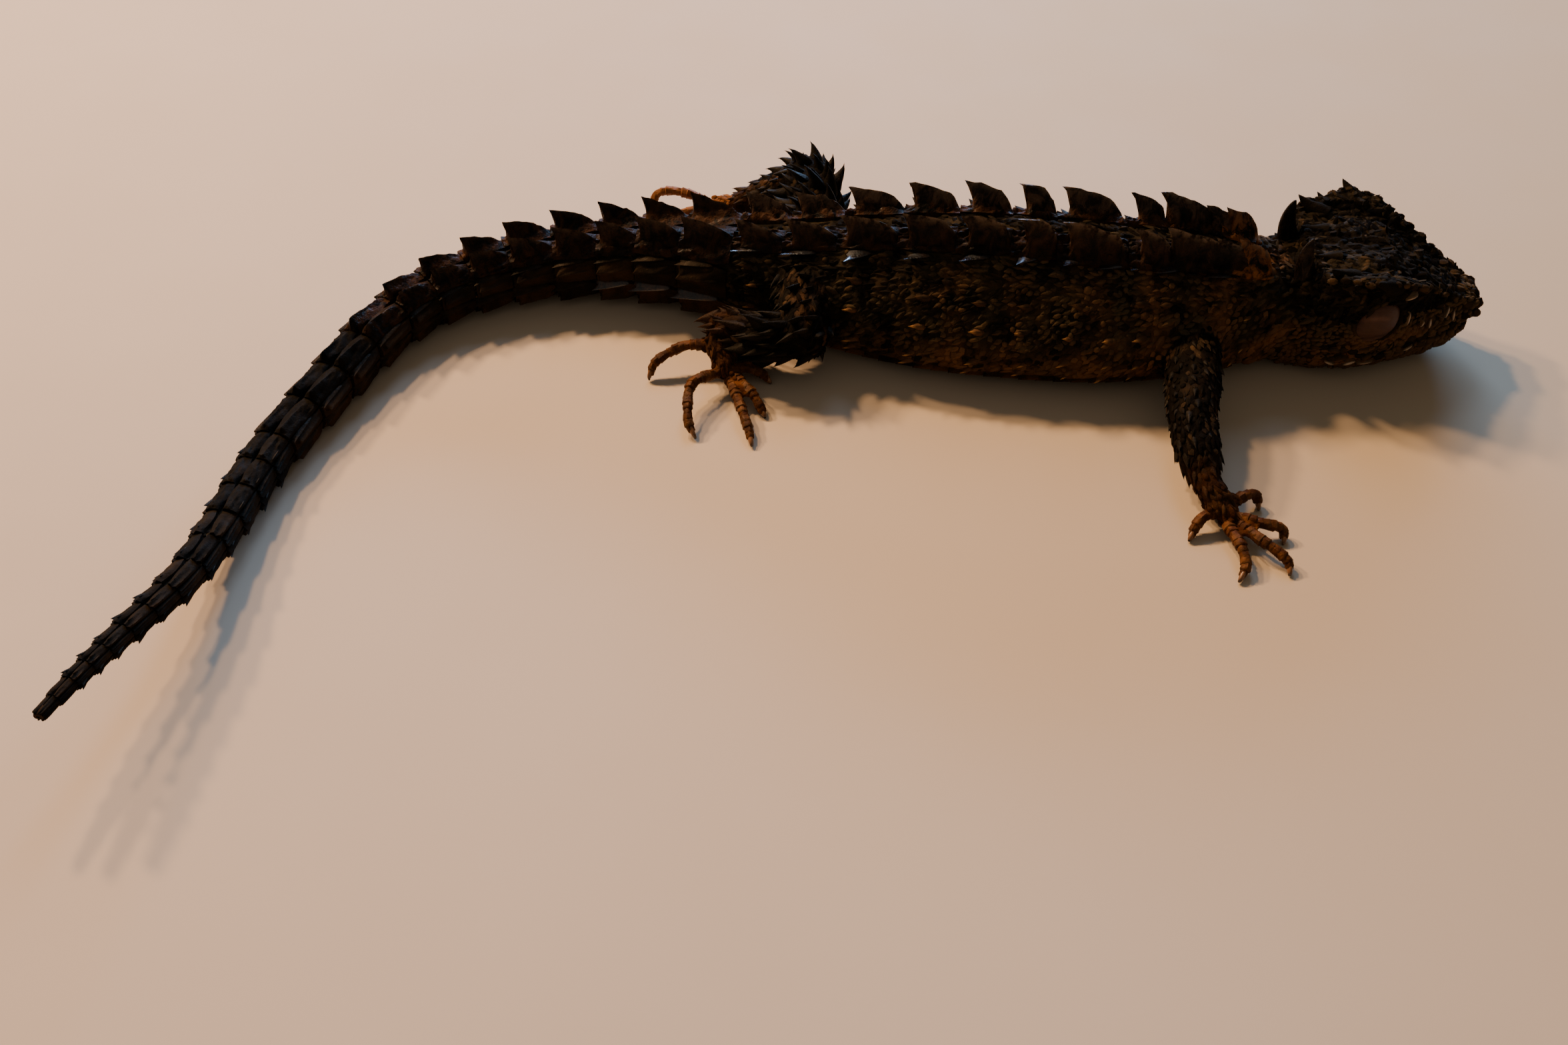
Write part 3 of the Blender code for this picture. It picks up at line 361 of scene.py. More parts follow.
def locate(points):
    """Region, share along it, angle round it, lie of its scales and axis distance of skin points."""
    points = np.asarray(points, float)
    n = len(points)
    distances, places, _ = AXIS
    s = np.empty(n)
    for start in range(0, n, 20000):
        part = points[start:start + 20000, :2].astype(np.float32)
        gap = ((part[:, None] - places[None].astype(np.float32)) ** 2).sum(-1)
        s[start:start + 20000] = distances[np.argmin(gap, 1)]
    centre, forward, left = on_axis(s)
    s = s + np.sum((points - centre) * forward * (1, 1, 0), 1)
    centre, forward, left = on_axis(s)
    half, top, bottom = curve(BODY_PROFILE, s).T
    level = curve(SECTION_SHAPES, s)[:, 0]
    widest = bottom + level * (top - bottom)
    side = np.sum((points - centre) * left, 1)
    rise = points[:, 2] - widest
    angle = np.arctan2(rise / np.where(rise > 0, top - widest, widest - bottom), side / half)
    ratio = np.hypot(side / half, rise / np.where(rise > 0, top - widest, widest - bottom))
    best = (ratio - 1) * half
    region = np.where(s > HEAD_BACK, 1, 0)
    along = s.copy()
    back = -forward
    for number, (_, _, line) in enumerate(PARTS):
        samples = np.linspace(0, len(line) - 1, 25)
        rows = centre_line(line, samples)
        near = np.linalg.norm(points - rows[:, :3].mean(0), axis=1) < 16
        index = np.flatnonzero(near)
        if not len(index):
            continue
        gap = np.linalg.norm(points[index, None] - rows[None, :, :3], axis=2) - rows[None, :, 3]
        nearest = np.argmin(gap, 1)
        depth = gap[np.arange(len(index)), nearest]
        closer = depth < np.minimum(best[index], 1.5) - 0.25
        index, nearest, depth = index[closer], nearest[closer], depth[closer]
        ahead = unit(np.gradient(rows[:, :3], axis=0))[nearest]
        across = unit(np.cross(ahead, (0, 0, 1)))
        up = np.cross(across, ahead)
        away = points[index] - rows[nearest, :3]
        best[index] = depth
        region[index] = FIRST_LIMB + number
        along[index] = samples[nearest] / (len(line) - 1)
        angle[index] = np.arctan2(np.sum(away * up, 1), np.sum(away * across, 1))
        back[index] = ahead
    return region, along, angle, back, s


def atlas(region, along, angle):
    """Place of skin points on one flat unwrap of the skin: body above, the limbs' lengths below."""
    v = (np.asarray(angle) + math.pi) / (2 * math.pi)
    u = (np.asarray(along) - TAIL_TIP) / (SNOUT + 1 - TAIL_TIP)
    uv = np.stack([0.02 + 0.96 * u, 0.58 + 0.4 * v], -1)
    limb = np.asarray(region) >= FIRST_LIMB
    number = np.maximum(np.asarray(region) - FIRST_LIMB, 0)
    column, row = number % 8, number // 8
    across, up = 0.02 + column * 0.121 + 0.105 * np.asarray(along), 0.03 + row * 0.135 + 0.11 * v
    inside = np.stack([across, up], -1)
    return np.where(limb[..., None], inside, uv)


BODY, HEAD, UPPER, LOWER, SOLE, DIGIT = range(6)
LIMB_KINDS = {"upper": UPPER, "lower": LOWER, "sole": SOLE}
FIRST_LIMB = 2


def kind_of(region):
    """Body, head or the kind of limb length that each region is."""
    return np.array([BODY, HEAD] + [LIMB_KINDS.get(part, DIGIT) for _, part, _ in PARTS])[region]


def region_of(limb, length):
    """Region number of one length of a limb."""
    return FIRST_LIMB + [part[:2] for part in PARTS].index((limb, length))


# meshes


def make_object(name, points, faces, attributes=None, uv=None, material=None, sharp=None):
    """Object from points in millimetres, with values kept on its points."""
    points = np.clip((np.asarray(points, float) + SHIFT) * MM, *INSIDE)
    mesh = bpy.data.meshes.new(name)
    if isinstance(faces, np.ndarray):
        sides = faces.shape[1]
        mesh.vertices.add(len(points))
        mesh.vertices.foreach_set("co", points.astype(np.float32).ravel())
        mesh.loops.add(faces.size)
        mesh.loops.foreach_set("vertex_index", faces.astype(np.int32).ravel())
        mesh.polygons.add(len(faces))
        mesh.polygons.foreach_set("loop_start", np.arange(0, faces.size, sides, dtype=np.int32))
        mesh.update(calc_edges=True)
    else:
        mesh.from_pydata(points.tolist(), [], faces)
    for key, values in (attributes or {}).items():
        layer = mesh.attributes.new(key, "FLOAT", "POINT")
        layer.data.foreach_set("value", np.asarray(values, np.float32))
    if uv is not None:
        corner = np.empty(len(mesh.loops), np.int32)
        mesh.loops.foreach_get("vertex_index", corner)
        layer = mesh.uv_layers.new(name="OFBake")
        layer.data.foreach_set("uv", np.asarray(uv, np.float32)[corner].ravel())
    mesh.shade_smooth()
    if sharp is not None:
        mesh.set_sharp_from_angle(angle=math.radians(sharp))
    if material:
        mesh.materials.append(material)
    obj = bpy.data.objects.new(name, mesh)
    bpy.context.scene.collection.objects.link(obj)
    return obj


MARKS = ("tone", "warm", "tip", "foot")
# lowest point of a scale in millimetres, and how much of the unwrap one scale and one plate take
LOWEST, SCALE_PATCH, PLATE_PATCH = 0.02, 0.0015, 0.003


class Coat:
    """Many closed solids gathered into one mesh, with marks for the material on every point."""

    def __init__(self):
        self.parts, self.count = [], 0

    def add(self, points, faces, uv, tone=0.5, warm=0.0, tip=0.0, foot=0.0):
        """Add one array of points and triangles; marks are one number or one for each point."""
        n = len(points)
        marks = [np.broadcast_to(np.asarray(m, float), (n,)) for m in (tone, warm, tip, foot)]
        self.parts.append((points, faces + self.count, uv + np.zeros((n, 2)), np.stack(marks, 1)))
        self.count += n

    def scatter(self, shape, place, back, normal, size, uv, tone, warm, foot=0.0):
        """Copy a small solid to many places, each with its own lie and size."""
        points, faces, tip = shape
        n, k = len(place), len(points)
        if not n:
            return
        normal = unit(normal)
        back = unit(back - normal * np.sum(back * normal, 1)[:, None])
        across = np.cross(normal, back)
        local = points[None] * size[:, None, :]
        world = (place[:, None] + back[:, None] * local[..., :1] + across[:, None] * local[..., 1:2]
                 + normal[:, None] * local[..., 2:])
        world[..., 2] = np.maximum(world[..., 2], LOWEST)
        all_faces = (faces[None] + (np.arange(n) * k)[:, None, None]).reshape(-1, faces.shape[1])
        patch = uv[:, None] + points[None, :, :2] * SCALE_PATCH
        tone, warm, foot = (np.repeat(np.broadcast_to(np.asarray(mark, float), (n,)), k)
                            for mark in (tone, warm, foot))
        self.add(world.reshape(-1, 3), all_faces, patch.reshape(-1, 2), tone, warm, np.tile(tip, n), foot)

    def build(self, name, material, slot, sharp):
        """Turn what was gathered into one object that rides on the animal."""
        points, faces, uv, marks = (np.concatenate([part[i] for part in self.parts]) for i in range(4))
        obj = make_object(name, points, faces, dict(zip(MARKS, marks.T)), uv, material, sharp)
        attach(obj, "root")


def fan_solid(rings, tip):
    """Small closed solid through rings of equally many points to a tip, with its point marks."""
    sides = len(rings[0])
    points = np.concatenate([*rings, [tip], [np.mean(rings[0], axis=0)]])
    end, hub = len(points) - 2, len(points) - 1
    faces = []
    for start in range(0, end - sides, sides):
        for i in range(sides):
            a, b = start + i, start + (i + 1) % sides
            faces += [(a, b, b + sides), (a, b + sides, a + sides)]
    last = end - sides
    faces += [(last + i, last + (i + 1) % sides, end) for i in range(sides)]
    faces += [((i + 1) % sides, i, hub) for i in range(sides)]
    rise = np.clip(points[:, 2] / max(points[:, 2].max(), 1e-6), 0, 1)
    return points, np.array(faces), rise


def ring(long, wide, height, shift=0.0, sides=6, turn=0.0):
    """One level ring of a small solid, with its half length and half width."""
    a = np.linspace(0, 2 * math.pi, sides, endpoint=False) + turn
    return np.stack([long * np.cos(a) + shift, wide * np.sin(a), np.full(sides, height)], 1)


def ring_solid(tip, sides, *rings, turn=0.0):
    """Small solid of unit size from its tip and its level rings, which ring() describes."""
    return fan_solid([ring(*one, sides=sides, turn=turn) for one in rings], tip)


GRANULE = ring_solid((.08, 0, .44), 6, (.5, .5, -.35), (.5, .5, .1), (.33, .33, .36, .03))
THORN = ring_solid((.92, 0, 1.0), 8, (.5, .5, -.45), (.52, .48, .0), (.43, .33, .28, .13),
                   (.29, .19, .58, .36), (.14, .09, .84, .62))
BLADE = ring_solid((.62, 0, 1.0), 10, (.5, .5, -.3), (.5, .46, .04), (.43, .33, .22, .03),
                   (.34, .21, .42, .15), (.21, .11, .66, .33), (.09, .05, .86, .5))
SHIELD = ring_solid((0, 0, .52), 8, (.5, .5, -.5), (.52, .52, .1), (.43, .43, .38), (.2, .2, .5), turn=.39)


def keeled_scale():
    """Leaf-like scale, low in front and raised behind, with a keel that ends in a point."""
    points = np.array([(-.5, 0, -.08), (-.28, .36, -.05), (.08, .5, 0), (.38, .3, .08), (.68, 0, .22),
                       (.38, -.3, .08), (.08, -.5, 0), (-.28, -.36, -.05), (-.22, 0, .12), (.1, 0, .27),
                       (.44, 0, .33), (0, 0, -.45)])
    faces = [(0, 8, 1), (8, 2, 1), (8, 9, 2), (9, 3, 2), (9, 10, 3), (10, 4, 3),
             (0, 7, 8), (8, 7, 6), (8, 6, 9), (9, 6, 5), (9, 5, 10), (10, 5, 4)]
    outline = [0, 7, 6, 5, 4, 3, 2, 1]
    faces += [(outline[(i + 1) % 8], outline[i], 11) for i in range(8)]
    tip = np.clip((points[:, 0] + .3) / 1.0, 0, 1) * np.clip(points[:, 2] * 4, 0, 1)
    return points, np.array(faces), tip


KEELED = keeled_scale()


def grid_solid(top, bottom):
    """Closed solid between two grids of points that share their rim's places."""
    rows, columns = top.shape[:2]
    points = np.concatenate([top.reshape(-1, 3), bottom.reshape(-1, 3)])
    index = np.arange(rows * columns).reshape(rows, columns)
    a, b, c, d = index[:-1, :-1], index[:-1, 1:], index[1:, 1:], index[1:, :-1]
    upper = np.stack([np.stack([a, b, c], -1), np.stack([a, c, d], -1)]).reshape(-1, 3)
    lower = upper[:, ::-1] + rows * columns
    rim = np.concatenate([index[0, :], index[1:, -1], index[-1, -2::-1], index[-2:0:-1, 0]])
    after = np.roll(rim, -1)
    low, low_after = rim + rows * columns, after + rows * columns
    wall = np.concatenate([np.stack([after, rim, low], -1), np.stack([after, low, low_after], -1)])
    return points, np.concatenate([upper, lower, wall])


def body_plate(front, rear, low, high, thick, keel, point, lift, rows, columns, keels=1, rough=0.05, seed=0):
    """Plate that follows the body: low in front, keeled, raised behind and drawn out to a point."""
    u = np.linspace(0, 1, rows)[:, None]
    v = np.linspace(-1, 1, columns)[None, :]
    length = front - rear
    narrow = 1 - 0.22 * smooth(0.55, 1.0, u) - 0.12 * (1 - smooth(0.0, 0.3, u))
    reach = u * length + point * smooth(0.6, 1.0, u) * (1 - abs(v)) ** 1.3
    s = front - reach
    a = (low + high) / 2 + (high - low) / 2 * v * narrow
    crest = np.zeros_like(v)
    for k in range(keels):
        centre = (2 * k + 1) / keels - 1
        crest = np.maximum(crest, np.clip(1 - abs(v - centre) * keels * 0.95, 0, 1) ** 1.5)
    edge = np.clip((1 - abs(v)) * 4, 0, 1) * np.clip(u * 4 + 0.15, 0, 1) + 0 * s
    swell = (thick * (0.3 + 0.7 * edge) + lift * u ** 2 * (0.5 + 0.5 * crest)
             + keel * crest * smooth(0.02, 0.75, u) * (1 - 0.25 * smooth(0.9, 1, u)))
    grain = noise(np.stack([s.ravel() * 1.7, a.ravel() * 6, np.full(s.size, seed * 7.3)], 1))
    swell = swell + rough * grain.reshape(s.shape) * edge
    top = body(s, a, swell).reshape(rows, columns, 3)
    bottom = body(s + 0.06 * reach, a, -0.55 + lift * 0.55 * u ** 2 + 0 * v).reshape(rows, columns, 3)
    points, faces = grid_solid(top, bottom)
    tip = (crest * smooth(0.15, 1.0, u) * (0.35 + 0.65 * u)).ravel()
    tip = np.concatenate([tip, tip * 0.3])
    uv0 = atlas(0, (front + rear) / 2, (low + high) / 2)
    local = np.stack([(u + 0 * v).ravel() - 0.5, (v + 0 * u).ravel() * 0.5], 1)
    return points, faces, uv0 + np.tile(local, (2, 1)) * PLATE_PATCH, tip


def rise_profile(u, start, end, full):
    """Outline of a fin: a front slope, rounded as far as it is full, and a steep drop behind."""
    t = np.clip((u - start) / (end - start), 0, 1)
    slope = full * np.sqrt(np.clip(1 - (1 - t) ** 2.1, 0, 1)) * (0.84 + 0.16 * t) + (1 - full) * t ** 0.85
    return slope * (1 - smooth(end, end + 0.10, u))


def ridge_plate(front, rear, low, high, crest, height, width, lean, hook, thick, lift, rows, columns,
                rough, seed, start=0.0, end=0.80, full=1.0):
    """Plate on the body whose middle rises into a fin with hollow sides and a tip that hooks back.

    The crest is the angle of its ridge, and lean is the way the ridge stands, or None for straight out.
    """
    u = np.sort(np.concatenate([np.linspace(0, 1, rows - 3), [end - 0.02, end + 0.03, end + 0.09]]))
    v = np.linspace(-1, 1, columns)
    v = np.sign(v) * abs(v) ** 1.7
    angles = np.where(v < 0, crest + v * (crest - low), crest + v * (high - crest))
    u, a = np.meshgrid(u, angles, indexing="ij")
    edge_v = np.broadcast_to(v, u.shape)
    girth = float(curve(BODY_PROFILE, (front + rear) / 2)[0, 0]) + 0.3
    narrow = 1 - 0.16 * smooth(0.6, 1.0, u) * abs(edge_v) - 0.12 * (1 - smooth(0.0, 0.25, u)) * abs(edge_v)
    a = crest + (a - crest) * narrow
    gap = abs(a - crest) * girth
    share = np.exp(-(gap / width) ** 1.25)
    profile = rise_profile(u, start, end, full)
    rise = profile * share
    s = front - u * (front - rear) - hook * height * rise ** 2.2 * smooth(0.2, end, u)
    edge = np.clip((1 - abs(edge_v)) * 5, 0, 1) * np.clip(u * 5 + 0.1, 0, 1)
    along, round_body, level = s.ravel(), a.ravel() * girth, rise.ravel()
    grain, fine, ribs = (noise(np.stack(place, 1), number).reshape(s.shape) for number, place in (
        (3, (along * 0.9 + seed, round_body * 2.6, np.full(s.size, seed * 1.7))),
        (5, (along * 3.0 + seed, round_body * 3.4, level * 4)),
        (9, (round_body * 3.2 + 0.8 * along, level * 1.2, np.full(s.size, seed)))))
    rugged = rough * edge * (1 - 0.6 * smooth(0.5, 0.95, rise)) * (grain + 0.7 * fine + 0.8 * ribs)
    swell = thick * (0.25 + 0.75 * edge) + lift * u ** 2 + rugged
    top = body(s, a, swell)
    if lean is None:
        _, out, _ = body_frame([(front + rear) / 2], [crest])
        lean = out[0]
    top = top + np.asarray(lean) * (height * rise).reshape(-1, 1)
    bottom = body(front - u * (front - rear) * 0.97, a, -0.6 + 0.5 * lift * u ** 2)
    points, faces = grid_solid(top.reshape(rows, columns, 3), bottom.reshape(rows, columns, 3))
    tip = np.clip(rise * 1.15, 0, 1).ravel()
    local = np.stack([u.ravel() - 0.5, edge_v.ravel() * 0.5], 1)
    uv = atlas(0, (front + rear) / 2, crest) + np.tile(local, (2, 1)) * PLATE_PATCH
    # painted highlight: a pale line along the crest of the fin, kept apart for the material
    rim = (share ** 7 * smooth(0.12, 0.35, profile) * smooth(0.99, 0.8, u)).ravel()
    across = np.tile(np.sign(edge_v).ravel(), 2)
    return points, faces, uv, np.concatenate([tip, tip * 0.2]), np.concatenate([rim, rim * 0]), across


# skin

VOXEL = 0.42
# raised ridges on the left of the head: points as x, side and height, then rise and half width
RIDGES = (
    (((13.4, 0.0, 14.4), (12.4, 3.4, 14.9), (11.2, 6.4, 15.3), (9.6, 9.6, 16.0)), 0.55, 0.55),
    (((13.4, 0.0, 14.4), (17.0, 0.0, 12.7), (21.0, 0.0, 10.7), (25.4, 0.0, 8.4)), 0.35, 0.5),
    (((3.0, 0.0, 14.4), (3.2, 3.4, 14.8), (3.6, 7.4, 15.0)), 0.35, 0.6),
    (((9.6, 9.9, 16.0), (12.6, 8.9, 15.4), (16.0, 7.0, 13.6), (20.0, 4.7, 11.1), (23.6, 3.0, 9.3)), 0.3, 0.5),
    (((17.0, 0.2, 12.7), (17.6, 3.0, 12.6), (16.6, 6.4, 13.3)), 0.3, 0.45),
    (((13.8, 8.3, 14.4), (13.2, 8.8, 12.4), (13.4, 8.5, 10.6), (14.6, 7.9, 9.0)), 0.35, 0.5),
    (((15.2, 7.4, 10.8), (18.2, 6.2, 9.6), (21.0, 4.8, 8.4)), 0.3, 0.45),
    (((5.0, 9.2, 14.6), (5.6, 9.3, 12.0), (6.6, 9.4, 9.6)), 0.3, 0.5),
    (((8.6, 10.0, 15.6), (8.6, 9.7, 13.0), (8.4, 9.4, 11.4)), 0.3, 0.5),
)


def ridge_height(points, s):
    """Rise of the head's ridges at some skin points."""
    rise = np.zeros(len(points))
    head = np.flatnonzero(s > HEAD_BACK - 1)
    for line, height, half in RIDGES:
        for side in (1, -1):
            path = head_point(*(centre_line(line, np.linspace(0, len(line) - 1, 26)) * (1, side, 1)).T)
            gap = np.linalg.norm(points[head, None] - path[None], axis=2).min(1)
            rise[head] = np.maximum(rise[head], height * np.exp(-(gap / half) ** 2))
    return rise


def eye_turn(side):
    """Cosine and sine of an eye's turn about the upright."""
    forward = head_direction(EYE_CENTRE[0], (1, 0, 0))
    turn = math.atan2(forward[1], forward[0]) - side * EYE_TURN
    return math.cos(turn), math.sin(turn)


def eye_distance(points):
    """Distance of points from the eye ellipsoids, as a share of their size."""
    best = np.full(len(points), 9.0)
    for side in (1, -1):
        x, out, height = EYE_CENTRE
        c, t = eye_turn(side)
        d = points - head_point(x, side * out, height)[0]
        local = np.stack([d[:, 0] * c + d[:, 1] * t, -d[:, 0] * t + d[:, 1] * c, d[:, 2]], 1)
        best = np.minimum(best, np.linalg.norm(local / (np.array(EYE_SIZE) * (1, 1.6, 1)), axis=1))
    return best


def body_shapes():
    """Closed lofts of body, head, limbs and digits, which cross each other."""
    sides = 72
    turn = np.linspace(-math.pi, math.pi, sides, endpoint=False)
    s = np.arange(TAIL_TIP + 0.3, HEAD_BACK + 2.6, 0.5)
    shapes = [lofted(body(np.repeat(s, sides), np.tile(turn, len(s))).reshape(len(s), sides, 3))]
    rings = []
    for x in np.arange(0.0, 26.41, 0.4):
        control = head_ring(x)
        wrapped = np.arange(-2, len(control) + 3)
        table = np.column_stack([wrapped, control[wrapped % len(control)]])
        outline = curve(table, np.arange(0, len(control), 0.34))
        rings.append(head_point(x, outline[:, 0], np.maximum(outline[:, 1], 0.0)))
    shapes.append(lofted(np.array(rings)))
    for _, part, line in PARTS:
        rings = tube_rings(line, 14 if part in LIMB_KINDS else 20, 20)
        rings[..., 2] = np.maximum(rings[..., 2], 0.0)
        shapes.append(lofted(rings))
    return shapes


def joined(shapes):
    """One mesh of even quads round all the shapes, finer on the head."""
    points, faces, count = [], [], 0
    for shape_points, shape_faces in shapes:
        points.append(shape_points)
        faces += [tuple(i + count for i in face) for face in shape_faces]
        count += len(shape_points)
    mesh = bpy.data.meshes.new("skin_base")
    mesh.from_pydata(np.concatenate(points).tolist(), [], faces)
    base = bpy.data.objects.new("skin_base", mesh)
    bpy.context.scene.collection.objects.link(base)
    remesh = base.modifiers.new("remesh", "REMESH")
    remesh.mode = "VOXEL"
    remesh.voxel_size = VOXEL
    bpy.context.view_layer.update()
    fine = bpy.data.meshes.new_from_object(base.evaluated_get(bpy.context.evaluated_depsgraph_get()))
    bpy.data.objects.remove(base)

    shape = bmesh.new()
    shape.from_mesh(fine)
    face = Vector(head_point(14.0, 0, 8)[0])
    edges = {e for f in shape.faces for e in f.edges
             if (f.calc_center_median() - face).length < 15.5 and f.calc_center_median().x > 50.5}
    bmesh.ops.subdivide_edges(shape, edges=list(edges), cuts=1, use_grid_fill=True, smooth=0.0)
    bmesh.ops.triangulate(shape, faces=[f for f in shape.faces if len(f.verts) > 4])
    shape.to_mesh(fine)
    shape.free()
    return fine


def read(values, key, columns, dtype=float):
    """Array of one property of a mesh's vertices or edges."""
    out = np.empty(len(values) * columns, dtype)
    values.foreach_get(key, out)
    return out.reshape(-1, columns)


def move(mesh, co):
    """Put a mesh's vertices at new places."""
    mesh.vertices.foreach_set("co", co.ravel())
    mesh.update()


def smoothed(mesh, co, kind):
    """Vertices after a few rounds of smoothing, which are gentle on digits and head."""
    pairs = read(mesh.edges, "vertices", 2, np.int32)
    degree = np.maximum(np.bincount(pairs.ravel(), minlength=len(co)), 1)[:, None]
    pull = np.where(kind == DIGIT, 0.15, np.where(kind == HEAD, 0.3, 0.5))[:, None]
    for _ in range(6):
        total = np.stack([np.bincount(pairs[:, 0], co[pairs[:, 1], k], len(co))
                          + np.bincount(pairs[:, 1], co[pairs[:, 0], k], len(co)) for k in range(3)], 1)
        co = co + pull * (total / degree - co)
    return co


def mouth_distance(points):
    """Distance of points from the open tip of the mouth, as a share of its size."""
    return np.linalg.norm((points - head_point(24.6, 0, 5.3)[0]) / np.array((3.2, 3.4, 0.95)), axis=1)


def head_relief(co, x, depth, relief, eye, mouth):
    """Relief of the skin where it is the head: wrinkles, ridges, lids, lips and nostrils."""
    above = smooth(6.0, 9.5, co[:, 2])
    striped = noise(np.stack([x * 0.55, co[:, 1] * 2.6, co[:, 2] * 2.4], 1), 6)
    lumps = noise(co * 1.15, 7)
    grain = noise(co * 3.1, 8)
    pits = np.clip(noise(co * 1.7, 9) - 0.15, 0, 1)
    relief = relief + above * (0.3 * striped + 0.2 * lumps + 0.1 * grain - 0.35 * pits)
    relief = relief + (1 - above) * (0.12 * lumps + 0.16 * noise(co * np.array((1.4, 1.4, 3.0)), 10))
    relief = relief + ridge_height(co, HEAD_BACK + x)
    relief = round_eyes(relief, depth, eye)
    relief = relief - 1.6 * smooth(1.1, 0.5, mouth)
    lip_z = curve(HEAD_PROFILE, x)[:, 6]
    relief = relief - 0.4 * np.exp(-((co[:, 2] - lip_z) / 0.2) ** 2) * smooth(2.5, 5.0, x)
    relief = relief - 0.8 * smooth(24.8, 26.2, x)
    for side in (1, -1):
        nostril = np.linalg.norm(co - head_point(24.7, 2.6 * side, 7.6)[0], axis=1)
        relief = relief + 0.3 * np.exp(-((nostril - 0.95) / 0.3) ** 2) - 0.6 * smooth(0.75, 0.2, nostril)
    return relief


def round_eyes(relief, depth, eye):
    """Relief with the hollow of each eye and the folds round it."""
    rim = np.exp(-((eye - 1.52) / 0.14) ** 2) * 0.28 - smooth(1.42, 1.15, eye) * 0.8
    rim += 0.18 * np.exp(-((eye - 1.85) / 0.12) ** 2) + 0.12 * np.exp(-((eye - 2.15) / 0.12) ** 2)
    return np.where(eye < 2.4, relief * smooth(1.2, 2.2, eye) * 0.8 - depth * 0.2 + rim, relief)


def skin_relief(co, s, kind, depth, eye, mouth):
    """How far each point of the skin is moved outwards."""
    folds = noise(np.stack([s * 0.55, co[:, 1] * 0.22, co[:, 2] * 0.28], 1), 1)
    fine_folds = noise(np.stack([s * 1.6, co[:, 1] * 0.6, co[:, 2] * 0.7], 1), 2)
    trunk = smooth(0, 8, s) * (0.28 * folds + 0.16 * fine_folds) * smooth(0.0, 3.0, co[:, 2])
    limb = 0.2 * noise(co * 0.9, 4) + 0.1 * noise(co * 2.2, 5)
    relief = np.select([kind == BODY, kind == HEAD, kind <= SOLE], [trunk, 0.0, limb], 0.0) - depth
    relief = np.where(kind == HEAD, head_relief(co, s - HEAD_BACK, depth, relief, eye, mouth),
                      round_eyes(relief, depth, eye))
    return np.minimum(relief, np.where(kind == HEAD, 0.45, 0.1))


def make_skin(material):
    """One closed skin with folds pressed into it, a tree of its faces, its points and their normals."""
    mesh = joined(body_shapes())
    co = read(mesh.vertices, "co", 3)
    region, along, _, _, s = locate(co)
    kind = kind_of(region)
    co = smoothed(mesh, co, kind)
    move(mesh, co)
    depth = np.where(kind == DIGIT, 0.12, SKIN_DEPTH)
    eye, mouth = eye_distance(co), mouth_distance(co)
    relief = skin_relief(co, s, kind, depth, eye, mouth)
    co = co + read(mesh.vertices, "normal", 3) * relief[:, None]
    co[:, 2] = np.maximum(co[:, 2], 0.0)
    move(mesh, co)
    normals = read(mesh.vertices, "normal", 3)

    tone = 0.5 + 0.5 * noise(co * 0.5, 12) - 0.5 * np.isin(kind, (UPPER, LOWER))
    # painted shade: darker in the open mouth and in the crease round each eye
    dark = (kind == HEAD) * (smooth(1.15, 0.9, mouth) + smooth(1.45, 1.25, eye) * 0.6)
    marks = {"warm": warmth(co, kind, s), "tone": np.clip(tone, 0, 1), "dark": np.clip(dark, 0, 1),
             "tip": np.clip((relief + depth) / 0.6, 0, 1), "foot": amber(kind, along)}
    for key, values in marks.items():
        layer = mesh.attributes.new(key, "FLOAT", "POINT")
        layer.data.foreach_set("value", np.asarray(values, np.float32))
    move(mesh, np.clip((co + SHIFT) * MM, *INSIDE))
    mesh.shade_smooth()
    mesh.materials.clear()
    mesh.materials.append(material)
    skin = bpy.data.objects.new("skin", mesh)
    bpy.context.scene.collection.objects.link(skin)
    tree = BVHTree.FromPolygons(co.tolist(), [tuple(p.vertices) for p in mesh.polygons])
    return skin, tree, co, normals


# rust bands across the flanks: distance and half width
RUST_BANDS = ((53.5, 2.2), (45.0, 1.4), (38.5, 2.6), (29.0, 1.2), (22.0, 1.6))


def warmth(points, kind, s):
    """How rusty orange the skin is: bands down the flanks, the shoulder and the edge of the belly."""
    stripes = sum(np.exp(-((s - at) / wide) ** 2) for at, wide in RUST_BANDS)
    bands = np.clip(stripes + 0.6 * noise(points * 0.35, 22), 0, 1)
    low = smooth(9.0, 2.5, points[:, 2]) * 0.75
    trunk = smooth(6, 14, s) * smooth(66, 58, s)
    fore = smooth(36, 50, s)
    patches = smooth(0.1, 0.6, noise(points * 0.28, 23))
    value = np.clip(bands * (0.35 + 0.4 * fore) + low * (0.4 + 0.6 * patches), 0, 1)
    value = trunk * value * smooth(15.5, 12.5, points[:, 2])
    nape = smooth(50, 57, s) * smooth(64, 60, s) * 0.6 * patches
    value = np.clip(value + nape, 0, 1) * (kind <= HEAD)
    limb = (kind >= UPPER) * (0.15 + 0.35 * patches)
    jaw = (kind == HEAD) * smooth(11.0, 2.5, points[:, 2]) * 0.5 * (0.5 + 1.3 * patches)
    return np.clip(value + limb + jaw, 0, 1)


def amber(kind, along):
    """How amber a limb is: full on the digits and fading up the foot."""
    return np.select([kind == DIGIT, kind == SOLE, kind == LOWER],
                     [1.0, 0.12 + 0.6 * along, 0.25 * smooth(0.55, 1.0, along)], 0.0)


# materials


